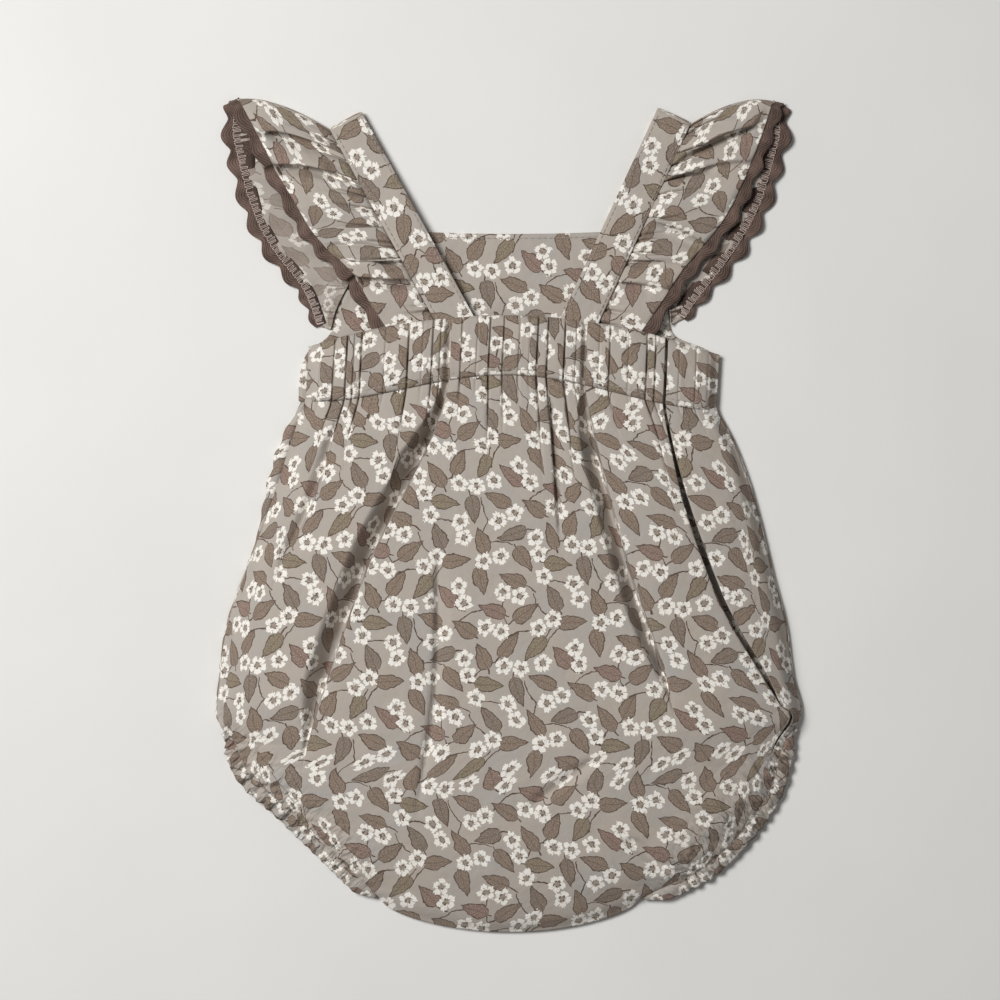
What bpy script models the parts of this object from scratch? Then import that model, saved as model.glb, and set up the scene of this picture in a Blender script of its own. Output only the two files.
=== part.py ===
"""Baby romper laid flat on a table with its back up: a bubble body, an elasticated back waist,
two wide straps folded over at the shoulders, and a flutter ruffle with ric-rac on each strap.

Metres, +Z up. X runs across the garment, +Y towards the shoulders, and Z = 0 is the table.
Tables are written in millimetres, as a pattern cutter's are, and MM turns them into metres.
"""

import math
from collections import namedtuple

import bmesh
import bpy
from mathutils import Vector

MM = 0.001

# Driving dimensions
CLOTH = 1.2 * MM  # wall of one layer of cotton with its turnings
DOUBLE_CLOTH = 2.0 * MM  # a strap, sewn as a tube and pressed flat
CASING = 3.0 * MM  # two layers round a wide elastic
SEAM_GAP = 0.4 * MM  # air between two pieces where they are sewn
FRILL_GAP = 0.6 * MM  # the same along a ruffle's wavy seam and edge
STRAP_WIDTH = 17.5 * MM
RICRAC_PITCH = 15.0  # mm from scallop to scallop

# The bubble body: one row for each section across it, from the waist seam down to the crotch fold.
# left and right are where the back panel ends and middle_y is the section's place on the middle
# line. bow shapes the way between: 2 leaves the ends level, 1 is a round arc, 0.5 has steep ends.
# rim is the back panel's height at its ends, crown is how far it stands above them, and shows is
# how far the front panel shows beyond it on the left.
Section = namedtuple("Section", "left_x left_y right_x right_y middle_y bow rim crown shows")
BODY = (
    Section(-98.5, 54, 99, 50, 66.5, 2.0, 5.2, 6.3, 0.5),
    Section(-108, 36, 107, 35, 45, 1.3, 5.2, 9.5, 2.0),
    Section(-115, 17, 114, 17, 22, 1.0, 5.2, 12.0, 3.0),
    Section(-119, -3, 120, -4, -1, 1.0, 5.2, 14.0, 1.0),
    Section(-126, -27, 126, -29, -24, 1.0, 5.2, 15.5, -1.0),
    Section(-135, -53, 132, -52, -48, 1.0, 5.2, 16.5, -1.0),
    Section(-138.5, -78, 135.5, -77, -72, 1.0, 5.4, 17.0, -1.0),
    Section(-139.4, -98, 139.4, -95, -96, 1.0, 5.8, 16.5, -1.0),
    Section(-131, -109, 131, -109, -118, 1.2, 6.8, 15.0, 0.0),
    Section(-124, -124, 124.5, -131, -138, 1.5, 7.2, 13.0, 0.0),
    Section(-107.5, -139, 112, -150, -157, 1.8, 7.2, 11.0, 0.0),
    Section(-89.5, -156.5, 95.5, -166.5, -172, 1.9, 7.0, 8.5, 0.0),
    Section(-73.5, -172.0, 79, -175.5, -185, 1.9, 6.4, 5.5, 0.0),
    Section(-61.5, -183.5, 61.5, -183.5, -199.8, 0.55, 5.4, 1.0, 0.0),
)
SIDE_FULLNESS = 6  # higher makes the body's top flatter and its sides rounder
FRONT_RIM = 2.4  # mm that the front panel's underside lifts at the side seams
LEAST_HEIGHT = 7.0  # mm, the lowest that a fold lets the middle of the back panel down

# The waistband's top edge, and how high the band stands over the front of the garment.
BAND_TOP_LEFT = (-96, 80.5)
BAND_TOP_RIGHT = (100.5, 76.5)
BAND_TOP_RISE = 16.8
BAND_END_HEIGHT = 4.9
BAND_CROWN = 7.6

# Gathers of the back waist: x at the waist seam, how deep, and how far each runs down the panel.
Gather = namedtuple("Gather", "x depth run")
GATHERS = (
    Gather(-86, 1.8, 22),
    Gather(-77, 2.0, 30),
    Gather(-70, 1.0, 14),
    Gather(-58, 0.7, 12),
    Gather(-48, 1.3, 26),
    Gather(-38, 1.0, 16),
    Gather(-28, 1.6, 44),
    Gather(-19, 0.7, 12),
    Gather(-9, 1.3, 30),
    Gather(-1, 0.9, 20),
    Gather(7, 0.7, 12),
    Gather(15, 1.5, 50),
    Gather(24, 1.3, 34),
    Gather(34, 1.7, 60),
    Gather(45, 0.9, 18),
    Gather(55, 0.6, 10),
    Gather(65, 1.5, 40),
    Gather(73, 1.8, 70),
    Gather(86, 0.8, 16),
)
GATHER_WIDTH = 2.9  # mm from a gather's lowest line to its shoulder
GATHER_SPREAD = 0.0042  # how much each mm of height away from the seam fans a gather outwards

# Large folds of the back panel: three places on the lowest line, its half width and depth.
Fold = namedtuple("Fold", "top middle bottom half_width depth")
FOLDS = (
    Fold((74, 50), (94, -28), (137, -103), 4.5, 6.5),
    Fold((35, 62), (53, -16), (79, -100), 8.5, 4.5),
    Fold((-27, 54), (-68, -22), (-99, -126), 10.0, 6.5),
    Fold((-34, -12), (-35, -82), (-45, -152), 6.0, 2.4),
    Fold((19, 60), (21, 28), (24, -14), 4.0, 1.8),
    Fold((-82, 48), (-95, 14), (-113, -38), 6.5, 2.6),
    Fold((40, -114), (24, -128), (8, -141), 7.0, 2.4),
    Fold((56, -152), (66, -163), (78, -172), 6.0, 2.0),
)

# Leg casings: a gathered ring round each leg opening, pressed flat.
CASING_FROM, CASING_TO = 0.573, 0.985  # shares of the way from the waist seam to the crotch
CASING_WIDTH = 6.8
CASING_TOP_WIDTH = 0.35  # share of the width at the side seam
CASING_OUTER_HEIGHT = 4.3  # mm, middle of the upper run at its outer edge
CASING_UNDER_INNER = 0.9
CASING_UNDER_OUTER = 2.2
LEG_PUCKERS = 13
LEG_PUCKER_HEIGHT = 0.55

# The front bodice lies on the table: one row for each level, from its top edge to its waist.
Level = namedtuple("Level", "y left_x right_x")
BODICE = (
    Level(136.4, -59.8, 63.4),
    Level(124, -66.5, 67.5),
    Level(110, -76.5, 72.5),
    Level(98, -82.5, 76),
    Level(86, -86.5, 79),
    Level(78, -96.5, 96),
    Level(66, -100.5, 99.5),
    Level(52, -101, 99.0),
)
NECK_DIP = 1.8  # mm that the top edge dips at the middle

# Straps: the middle of the foot under the waistband and of the fold at the shoulder.
STRAP_FEET = {"left": (-22.3, 86.5), "right": (30.6, 86.5)}
STRAP_SHOULDERS = {"left": (-78.2, 188.5), "right": (78.8, 190.8)}
STRAP_FOLD_RADIUS = 1.6
STRAP_FOOT_HEIGHT = 6.0  # mm, middle of the strap where the waistband covers it

# Ruffles: a row for each section, from its height on the seam out to the ruffle's edge. The back
# half runs from the waistband up to the shoulder, and the front half from there down to the side.
Frill = namedtuple("Frill", "seam_y edge_x edge_y")
RUFFLE_BACK = {
    "left": (
        Frill(96.0, -61, 92.2),
        Frill(106, -68.5, 104),
        Frill(117, -75.5, 116.5),
        Frill(126, -86, 126),
        Frill(137, -95, 136.5),
        Frill(148, -103, 150),
        Frill(160, -112, 165.5),
        Frill(173, -120, 181),
        Frill(182.3, -128.5, 197.2),
    ),
    "right": (
        Frill(96.2, 67, 92.8),
        Frill(107, 75, 104),
        Frill(118, 82, 116),
        Frill(129, 92, 128),
        Frill(142, 103.5, 143),
        Frill(155, 110.5, 156.5),
        Frill(167, 116.5, 170.5),
        Frill(178, 121.5, 184),
        Frill(185, 125.5, 196),
    ),
}
RUFFLE_FRONT = {
    "left": (
        Frill(182.3, -131, 196.6),
        Frill(171, -129.5, 182),
        Frill(157.5, -126.5, 168),
        Frill(146.5, -122, 151.5),
        Frill(136, -116, 137),
        Frill(124, -108, 124.5),
        Frill(110, -98, 112),
        Frill(98, -92.5, 100.5),
        Frill(89, -89.5, 91),
    ),
    "right": (
        Frill(185, 128.5, 195),
        Frill(174, 126.5, 181),
        Frill(160, 122.5, 166),
        Frill(146.5, 118, 151),
        Frill(136, 111.5, 138),
        Frill(124, 104, 126),
        Frill(110, 95, 114),
        Frill(98, 86.5, 103),
        Frill(91, 81.5, 95),
    ),
}
RUFFLE_BULGE = 6.0  # mm that a ruffle's shoulder end stands up between seam and edge
RUFFLE_FOLD_RADIUS = 2.2  # mm at the ruffle's edge, where it turns over the shoulder
RUFFLE_LIFT = 6.2  # mm, the back half's middle height at its edge
FRONT_HALF_HEIGHT = 0.6  # mm, middle of the cloth where it lies on the table

# Flutes of a ruffle: where along a half each lies, how wide and how high it stands at the edge.
Flute = namedtuple("Flute", "place width height")
BACK_FLUTES = (
    Flute(0.10, 0.045, 1.4),
    Flute(0.22, 0.040, -0.8),
    Flute(0.34, 0.050, 1.9),
    Flute(0.47, 0.045, -0.7),
    Flute(0.59, 0.055, 1.7),
    Flute(0.72, 0.050, -0.7),
    Flute(0.84, 0.050, 1.6),
)
FRONT_FLUTES = (
    Flute(0.14, 0.045, 2.0),
    Flute(0.29, 0.050, 2.3),
    Flute(0.44, 0.045, 2.0),
    Flute(0.58, 0.050, 2.4),
    Flute(0.72, 0.045, 1.9),
    Flute(0.86, 0.040, 1.3),
)

# Ric-rac: how far each half shows beyond the ruffle's edge, from notch to tip.
RICRAC_BACK = (3.6, 6.0)
RICRAC_FRONT = (5.4, 8.6)
RICRAC_SCALLOPS = 17
RICRAC_END = 0.55  # share of the front half's width left at its lower end

# Grid sizes: cells across and along each piece
BODY_CELLS = (46, 26)
FRONT_CELLS = (12, 26)
BAND_CELLS = (76, 3)
BODICE_CELLS = (12, 14)
CASING_CELLS = (52, 1)
STRAP_CELLS = (24, 2)
RUFFLE_CELLS = (85, 2)
RICRAC_CELLS = (85, 1)

PRINT_GROUND = (0.44, 0.40, 0.355)
PRINT_INSIDE = (0.50, 0.46, 0.42)
TRIM_BROWN = (0.17, 0.105, 0.082)


def through(rows, share):
    """The row at a share from 0 to 1 along a smooth curve through evenly spaced rows of numbers."""
    last = len(rows) - 1
    place = min(max(share, 0.0), 1.0) * last
    first = min(int(place), last - 1)
    t = place - first
    a, b, c, d = (Vector(rows[min(max(first + k, 0), last)]) for k in (-1, 0, 1, 2))
    bend = (2 * a - 5 * b + 4 * c - d) * t * t + (3 * b - a - 3 * c + d) * t**3
    return 0.5 * (2 * b + (c - a) * t + bend)


def blend(low, high, share):
    return low + (high - low) * share


def ease(share):
    """0 to 1 with soft ends."""
    share = min(max(share, 0.0), 1.0)
    return share * share * (3 - 2 * share)


def bell(distance, half_width):
    return math.exp(-((distance / half_width) ** 2))


def pillow(u):
    """0 at both ends and 1 over the middle, round at the shoulders."""
    return math.sqrt(max(0.0, 1 - abs(2 * u - 1) ** SIDE_FULLNESS))


def body_point(u, v):
    """Place in plan and section of the bubble body, u across and v from the waist seam down."""
    section = Section(*through(BODY, v))
    x = blend(section.left_x, section.right_x, u)
    ends_y = blend(section.left_y, section.right_y, u)
    middle = section.middle_y - (section.left_y + section.right_y) / 2
    return x, ends_y + middle * max(math.sin(math.pi * u), 0.0) ** section.bow, section


def fold_depth(x, y):
    """How far the large folds let the back panel down at a place."""
    depth = 0.0
    for fold in FOLDS:
        run = (fold.bottom[1] - fold.top[1])
        along = (y - fold.top[1]) / run
        if not 0.0 < along < 1.0:
            continue
        place = through((fold.top, fold.middle, fold.bottom), along)
        lean = (fold.bottom[0] - fold.top[0]) / run
        across = (x - place.x) / math.sqrt(1 + lean * lean)
        taper = math.sin(math.pi * along) ** 0.6
        depth += fold.depth * taper * bell(across, fold.half_width)
    return depth


def gather_depth(x, below_seam):
    """How far the waist gathers let the cloth down, below_seam mm from the waist seam."""
    depth = 0.0
    for gather in GATHERS:
        fade = 1 - ease(below_seam / gather.run)
        place = gather.x * (1 + GATHER_SPREAD * below_seam)
        depth += gather.depth * fade * bell(x - place, GATHER_WIDTH)
    return depth


def back_panel_point(u, v):
    x, y, section = body_point(u, v)
    seam_y = body_point(u, 0.0)[1]
    height = section.rim + section.crown * pillow(u)
    sink = fold_depth(x, y) + gather_depth(x, seam_y - y)
    floor = min(height, LEAST_HEIGHT)
    return Vector((x, y - SEAM_GAP / MM * (1 - v), max(height - sink * pillow(u), floor))) * MM


def front_panel_point(u, v):
    x, y, section = body_point(u, v)
    at_side = ease(v * 6) * (1 - ease(v * 8 - 4.2))
    lift = FRONT_RIM * (1 - pillow(u)) ** 3 * at_side
    x -= section.shows * max(0.0, 1 - 8 * u)
    return Vector((x, y, lift)) * MM


def band_point(u, v):
    """The back waistband, v from its stitched lower edge up to its top edge."""
    low_x, low_y, _ = body_point(u, 0.0)
    top_x = blend(BAND_TOP_LEFT[0], BAND_TOP_RIGHT[0], u)
    top_y = blend(BAND_TOP_LEFT[1], BAND_TOP_RIGHT[1], u) + BAND_TOP_RISE * 4 * u * (1 - u)
    height = BAND_END_HEIGHT + BAND_CROWN * pillow(u)
    puff = 0.5 * math.sin(math.pi * v)
    x = blend(low_x, top_x, v)
    sink = gather_depth(low_x, 0.0) * pillow(u)
    return Vector((x, blend(low_y, top_y, v), height + puff - sink)) * MM


def bodice_point(u, v):
    level = Level(*through(BODICE, v))
    dip = NECK_DIP * math.sin(math.pi * u) * (1 - ease(v * 3))
    seam_y = body_point(u, 0.0)[1] + SEAM_GAP / MM
    to_seam = (seam_y - BODICE[-1].y) * ease(v * 3 - 2)
    return Vector((blend(level.left_x, level.right_x, u), level.y - dip + to_seam, 0.0)) * MM


def body_side(side, v):
    """The back panel's end on one side and the direction out of the panel there."""
    u = 0.0 if side == "left" else 1.0
    step = 0.01
    x, y, section = body_point(u, v)
    before = body_point(u, max(v - step, 0.0))
    after = body_point(u, min(v + step, 1.0))
    along = Vector((after[0] - before[0], after[1] - before[1])).normalized()
    out = Vector((along.y, -along.x))
    return Vector((x, y)), out if side == "left" else -out, section.rim


def casing_point(side, u, v):
    """A leg casing: u goes once round the flat ring, v from its inner edge to the leg edge."""
    run = 1 - abs(2 * u - 1)
    place, out, rim = body_side(side, blend(CASING_FROM, CASING_TO, run))
    end = abs(2 * run - 1) ** 10
    pucker = LEG_PUCKER_HEIGHT * math.cos(2 * math.pi * LEG_PUCKERS * run) * (1 - end)
    width = CASING_WIDTH * blend(CASING_TOP_WIDTH, 1.0, ease(run * 7)) + pucker
    place += out * (SEAM_GAP / MM + v * width)
    upper = blend(rim - 0.9, CASING_OUTER_HEIGHT, v) + pucker * 0.6
    under = blend(CASING_UNDER_INNER, CASING_UNDER_OUTER, v)
    over = 0.5 + 0.5 * math.tanh(12 * math.sin(2 * math.pi * u))
    return Vector((*place, blend(under, upper, over))) * MM


def strap_line(side):
    """The strap's foot, its direction towards the shoulder and its length."""
    foot, shoulder = Vector(STRAP_FEET[side]), Vector(STRAP_SHOULDERS[side])
    return foot, (shoulder - foot).normalized(), (shoulder - foot).length


def strap_point(side, u, v):
    """A strap: u from the bodice up, over the shoulder and down to the waistband, v across."""
    foot, up, length = strap_line(side)
    across = Vector((-up.y, up.x)) * (v - 0.5) * STRAP_WIDTH / MM
    radius = STRAP_FOLD_RADIUS
    fold_from, fold_to = 0.36, 0.54
    low = DOUBLE_CLOTH / MM / 2
    turn = length - radius
    if u < fold_from:
        start = (BODICE[0].y + SEAM_GAP / MM - foot.y - across.y) / up.y
        return Vector((*(foot + across + up * blend(start, turn, u / fold_from)), low)) * MM
    if u <= fold_to:
        angle = math.pi * ((u - fold_from) / (fold_to - fold_from) - 0.5)
        reach = turn + radius * math.cos(angle)
        height = low + radius + radius * math.sin(angle)
        return Vector((*(foot + across + up * reach), height)) * MM
    down = (u - fold_to) / (1 - fold_to)
    height = blend(low + 2 * radius, STRAP_FOOT_HEIGHT, ease(down * 1.4))
    return Vector((*(foot + across + up * blend(turn, 0.0, down)), height)) * MM


def flutes(table, place):
    return sum(f.height * bell(place - f.place, f.width) for f in table)


def seam_place(side, y, half):
    """Where a ruffle is sewn on, at a height: along the strap, then round the bodice's armhole."""
    if half == "back" or y > BODICE[0].y:
        foot, up, _ = strap_line(side)
        out = Vector((-up.y, up.x)) * (1 if side == "left" else -1)
        start = foot + out * (STRAP_WIDTH / 2 + FRILL_GAP) / MM
        return start + up * (y - start.y) / up.y
    share = 0.0
    while Level(*through(BODICE, share)).y > y:
        share += 0.002
    level = Level(*through(BODICE, share))
    gap = SEAM_GAP / MM
    return Vector((level.left_x - gap if side == "left" else level.right_x + gap, y))


def ruffle_half(side, half, place, v, beyond):
    """A place on one half of a ruffle in plan, with mm beyond its edge, square to the edge."""
    rows = (RUFFLE_BACK if half == "back" else RUFFLE_FRONT)[side]
    seam_y, *edge = through(rows, place)
    seam, edge = seam_place(side, seam_y, half), Vector(edge)
    step = 0.01
    along = Vector(through(rows, place + step)[1:]) - Vector(through(rows, place - step)[1:])
    out = Vector((-along.y, along.x)).normalized()
    if out.dot(edge - seam) < 0:
        out.negate()
    nearness = ease(place if half == "back" else 1 - place)
    bulge = strap_line(side)[1] * RUFFLE_BULGE * nearness**2 * 4 * v * (1 - v)
    return seam + (edge - seam) * v + bulge + out * beyond


def ruffle_point(side, u, v, beyond=(0.0, 0.0)):
    """A ruffle: u from the waistband up, over the shoulder and down the front, v from seam to edge.

    beyond is how far past the edge the place lies, on the back half and on the front half.
    """
    _, up, _ = strap_line(side)
    fold_from, fold_to = 0.47, 0.55
    radius = blend(STRAP_FOLD_RADIUS, RUFFLE_FOLD_RADIUS, v)
    low = FRONT_HALF_HEIGHT
    if u < fold_from:
        along = u / fold_from
        plan = ruffle_half(side, "back", along, v, beyond[0])
        flat = blend(blend(STRAP_FOOT_HEIGHT, RUFFLE_LIFT, v), low + 2 * radius, ease(along * 3 - 2))
        wave = flutes(BACK_FLUTES, along) * blend(0.25, 1.0, v) * (1 - ease(along * 12 - 11))
        return Vector((*plan, flat + wave)) * MM
    if u > fold_to:
        along = (u - fold_to) / (1 - fold_to)
        plan = ruffle_half(side, "front", along, v, beyond[1])
        wave = flutes(FRONT_FLUTES, along) * v * ease(along * 12)
        return Vector((*plan, low + wave)) * MM
    turn = (u - fold_from) / (fold_to - fold_from)
    back = ruffle_half(side, "back", 1.0, v, beyond[0])
    front = ruffle_half(side, "front", 0.0, v, beyond[1])
    angle = math.pi * (0.5 - turn)
    plan = back.lerp(front, turn) + up * radius * math.cos(angle)
    return Vector((*plan, low + radius + radius * math.sin(angle))) * MM


def ricrac_point(side, u, v):
    """The ric-rac outside a ruffle's edge, v from the stitched line to the scallops."""
    tip = 0.5 - 0.5 * math.cos(2 * math.pi * RICRAC_SCALLOPS * u)
    gap = FRILL_GAP / MM
    back = blend(gap, blend(*RICRAC_BACK, tip), v)
    front = blend(gap, blend(*RICRAC_FRONT, tip) * blend(1.0, RICRAC_END, ease(u * 5 - 4)), v)
    return ruffle_point(side, u, 1.0, beyond=(back, front))


def cloth_piece(name, cells, place, thickness, colour, *, lies="below", closed=False):
    """One cut piece: a grid put in place corner by corner, then thickened into a wall.

    lies says where the wall is from the places given: below them, above them or about them.
    """
    mesh = bpy.data.meshes.new(name)
    grid = bmesh.new()
    bmesh.ops.create_grid(grid, x_segments=cells[0], y_segments=cells[1], size=0.5)
    for corner in grid.verts:
        corner.co = place(corner.co.x + 0.5, corner.co.y + 0.5)
    if closed:
        bmesh.ops.remove_doubles(grid, verts=grid.verts, dist=0.00001)
    grid.normal_update()
    up = sum(face.normal.z * face.calc_area() for face in grid.faces)
    if closed:
        bmesh.ops.recalc_face_normals(grid, faces=grid.faces)
    elif (up < 0) == (lies != "above"):
        bmesh.ops.reverse_faces(grid, faces=grid.faces)
    grid.to_mesh(mesh)
    grid.free()
    mesh.shade_smooth()
    piece = bpy.data.objects.new(name, mesh)
    bpy.context.collection.objects.link(piece)
    wall = piece.modifiers.new("wall", "SOLIDIFY")
    wall.thickness = thickness
    wall.offset = 0.0 if lies == "about" else -1.0
    wall.use_even_offset = True
    mesh.materials.append(cloth_material(name, colour))
    return piece


def cloth_material(name, colour):
    material = bpy.data.materials.new(name)
    material.use_nodes = True
    shader = material.node_tree.nodes["Principled BSDF"]
    shader.inputs["Base Color"].default_value = (*colour, 1.0)
    shader.inputs["Roughness"].default_value = 0.9
    shader.inputs["Metallic"].default_value = 0.0
    return material


def body():
    cloth_piece("back_panel", BODY_CELLS, back_panel_point, CLOTH, PRINT_GROUND)
    cloth_piece("front_panel", FRONT_CELLS, front_panel_point, CLOTH, PRINT_INSIDE, lies="above")
    cloth_piece("back_waistband", BAND_CELLS, band_point, CASING, PRINT_GROUND)
    cloth_piece("front_bodice", BODICE_CELLS, bodice_point, CLOTH, PRINT_GROUND, lies="above")


def one_side(side):
    """The pieces that each side has: leg casing, strap, ruffle and its ric-rac."""

    def on_side(place):
        return lambda u, v: place(side, u, v)

    cloth_piece(
        f"leg_casing_{side}", CASING_CELLS, on_side(casing_point), CLOTH, PRINT_GROUND, lies="about", closed=True
    )
    cloth_piece(f"strap_{side}", STRAP_CELLS, on_side(strap_point), DOUBLE_CLOTH, PRINT_GROUND, lies="about")
    cloth_piece(f"ruffle_{side}", RUFFLE_CELLS, on_side(ruffle_point), CLOTH, PRINT_INSIDE, lies="about")
    cloth_piece(f"ricrac_{side}", RICRAC_CELLS, on_side(ricrac_point), CLOTH, TRIM_BROWN, lies="about")


def main():
    for leftover in list(bpy.data.objects):
        bpy.data.objects.remove(leftover)
    body()
    one_side("left")
    one_side("right")


main()
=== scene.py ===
# %% [markdown]
# # A baby romper laid flat
# A bubble romper for a baby lies on a pale table with its back up: a gathered body, an elastic
# waist, two wide straps folded over at the shoulders, and a flutter ruffle edged with ric-rac on
# each strap. Every soft piece here is a sheet of cloth, so each one starts as a flat grid that is
# put into the shape in which the cloth lies.
# The measured solids come first. They say where each piece is and how big, and they stay put.

# %% Load the measured solids
import math
from collections import namedtuple

import bmesh
import bpy
import numpy as np
from mathutils import Matrix, Vector


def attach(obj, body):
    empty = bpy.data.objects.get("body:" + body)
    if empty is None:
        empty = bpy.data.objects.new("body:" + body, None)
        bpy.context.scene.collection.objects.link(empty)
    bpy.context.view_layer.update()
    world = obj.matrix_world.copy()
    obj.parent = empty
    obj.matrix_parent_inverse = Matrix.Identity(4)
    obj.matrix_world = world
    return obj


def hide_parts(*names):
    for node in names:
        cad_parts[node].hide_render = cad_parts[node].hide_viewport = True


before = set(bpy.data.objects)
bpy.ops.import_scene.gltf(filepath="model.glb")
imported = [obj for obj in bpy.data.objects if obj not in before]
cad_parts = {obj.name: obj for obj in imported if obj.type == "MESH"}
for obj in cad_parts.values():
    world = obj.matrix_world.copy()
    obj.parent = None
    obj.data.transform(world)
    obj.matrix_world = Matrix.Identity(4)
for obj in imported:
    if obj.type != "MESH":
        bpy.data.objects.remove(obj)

MM = 0.001
SIDES = ("left", "right")  # as seen from above, and the wearer's too, because the back is up
SCENE = bpy.context.scene
SCENE.view_settings.view_transform = "Standard"
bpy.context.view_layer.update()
print("solids to dress:", sorted(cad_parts))

# %% [markdown]
# ## The camera
# It hangs straight over the garment and looks down. A long lens from well above keeps the folds
# from leaning outwards, as they would under a wide lens close by. The lens follows from how wide
# a strip of table the view should show at the cloth's height.

# %% Camera straight above
VIEW_CENTRE = (-0.0045, 0.0071)
VIEW_WIDTH = 0.476
CAMERA_HEIGHT = 1.3
CLOTH_HEIGHT = 0.010


def put_in_scene(name, data):
    """A new object of that name, made of a mesh, a curve, a light or a lens."""
    thing = bpy.data.objects.new(name, data)
    SCENE.collection.objects.link(thing)
    return thing


lens = bpy.data.cameras.new("camera_above")
lens.lens = lens.sensor_width * (CAMERA_HEIGHT - CLOTH_HEIGHT) / VIEW_WIDTH
camera = put_in_scene("camera_above", lens)
camera.location = (*VIEW_CENTRE, CAMERA_HEIGHT)
SCENE.camera = camera
print("lens, mm:", round(lens.lens, 1))

# %% [markdown]
# ## Numbers in a material
# A printed cotton needs sums: how far a point is from a petal, or which leaf is nearest. Blender's
# materials are graphs of nodes, and a long sum is hard to read as a graph. A small class lets the
# sums be written as ordinary sums, and each operation still becomes one Math node.

# %% A material written as a recipe
IN_MM = (1 / MM, 1 / MM, 0.0)  # turns a place in metres into millimetres


class Number:
    """One number in a material. Adding or comparing it makes the node that does so."""

    def __init__(self, recipe, socket):
        self.recipe, self.socket = recipe, socket

    def reckon(self, operation, *others):
        return self.recipe.number("Math", self, *others, operation=operation)

    def within_one(self):
        """The number kept between 0 and 1."""
        return self.reckon("MAXIMUM", 0.0).reckon("MINIMUM", 1.0)

    def __add__(self, other):
        return self.reckon("ADD", other)

    def __sub__(self, other):
        return self.reckon("SUBTRACT", other)

    def __rsub__(self, other):
        return self.recipe.number("Math", other, self, operation="SUBTRACT")

    def __mul__(self, other):
        return self.reckon("MULTIPLY", other)

    def __pow__(self, other):
        return self.reckon("POWER", other)

    def __abs__(self):
        return self.reckon("ABSOLUTE")

    def __lt__(self, other):
        return self.reckon("LESS_THAN", other)

    def __gt__(self, other):
        return self.reckon("GREATER_THAN", other)

    __radd__, __rmul__ = __add__, __mul__


class Recipe:
    """A material whose nodes are added one by one, each fed with the values it needs."""

    def __init__(self, name):
        self.material = bpy.data.materials.new(name)
        self.material.use_nodes = True
        self.tree = self.material.node_tree
        self.shader = self.tree.nodes["Principled BSDF"]

    def join(self, value, slot):
        value = getattr(value, "socket", value)
        if isinstance(value, bpy.types.NodeSocket):
            self.tree.links.new(value, slot)
        elif value is not None:
            slot.default_value = value

    def node(self, kind, *values, **settings):
        made = self.tree.nodes.new("ShaderNode" + kind)
        for name, value in settings.items():
            setattr(made, name, value)
        for value, slot in zip(values, made.inputs):
            self.join(value, slot)
        return made

    def number(self, kind, *values, output=0, **settings):
        return Number(self, self.node(kind, *values, **settings).outputs[output])

    def vector(self, operation, *values):
        return self.node("VectorMath", *values, operation=operation).outputs[0]

    def parts(self, vector):
        """The three numbers of a vector."""
        split = self.node("SeparateXYZ", vector)
        return [Number(self, split.outputs[k]) for k in range(3)]

    def noise(self, place, waves, octaves):
        """Soft unevenness from 0 to 1, with so many waves in one unit of the place."""
        return self.number("TexNoise", place, None, waves, octaves)

    def own_place(self):
        """Places on the piece itself, in metres."""
        return self.node("TexCoord").outputs["Object"]

    def place_on_cut(self):
        """Places on the flat cut of the cloth, in millimetres."""
        return self.vector("MULTIPLY", self.node("UVMap", uv_map="cut").outputs[0], IN_MM)

    def blend(self, share, first, second, kind="RGBA"):
        """first where share is 0 and second where it is 1: colours, or vectors with kind VECTOR."""
        made = self.node("Mix", share, data_type=kind)
        start = {"VECTOR": 4, "RGBA": 6}[kind]
        self.join(first, made.inputs[start])
        self.join(second, made.inputs[start + 1])
        return made.outputs[{"VECTOR": 1, "RGBA": 2}[kind]]

    def relief(self, height, depth, under=None):
        """A normal for a surface whose height goes up by depth metres where height is 1."""
        return self.node("Bump", 1.0, depth, None, height, under).outputs[0]

    def set(self, **values):
        """Fill slots of the shader, each called by its name in small letters."""
        for name, value in values.items():
            slot = name.replace("_", " ").title().replace("Ior", "IOR")
            self.join(value, self.shader.inputs[slot])


def colour(red, green, blue):
    """A colour given as the 0 to 255 of a screen, in the linear light that a material needs."""
    screen = np.array([red, green, blue]) / 255
    linear = np.where(screen < 0.04045, screen / 12.92, ((screen + 0.055) / 1.055) ** 2.4)
    return (*linear.tolist(), 1.0)


print("a mid grey in linear light:", [round(part, 3) for part in colour(128, 128, 128)[:3]])

# %% [markdown]
# ## The table and the light
# Light on cloth should come from a large soft source, so that folds shade gently and only deep
# creases go dark. One big panel stands over the upper left and a weaker one fills in from the
# lower right. The table is a plain pale sheet with a faint unevenness, a hair under the cloth.

# %% Table and two soft lights
FLOOR_SIZE = 8.0
FLOOR_DROP = 0.0002
MAIN_LIGHT = {"place": (-0.84, 0.47, 1.5), "size": 0.7, "power": 29.5}
FILL_LIGHT = {"place": (0.9, -0.7, 1.4), "size": 1.4, "power": 2.2}
SKY_COLOUR, SKY_STRENGTH = colour(244, 244, 246), 0.12
TABLE_DULL, TABLE_CLEAN = colour(226, 224, 220), colour(236, 234, 230)
TABLE_MOTTLE = (9.0, 4.0)  # waves per metre, octaves

table_paint = Recipe("table_paint")
mottle = table_paint.noise(table_paint.own_place(), *TABLE_MOTTLE)
table_paint.set(base_color=table_paint.blend(mottle, TABLE_DULL, TABLE_CLEAN), roughness=0.75)


def finished_mesh(name, shape, materials):
    """The mesh of a bmesh, smooth, with its materials in their order."""
    mesh = bpy.data.meshes.new(name)
    shape.to_mesh(mesh)
    shape.free()
    mesh.shade_smooth()
    for material in materials:
        mesh.materials.append(material)
    return mesh


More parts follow.
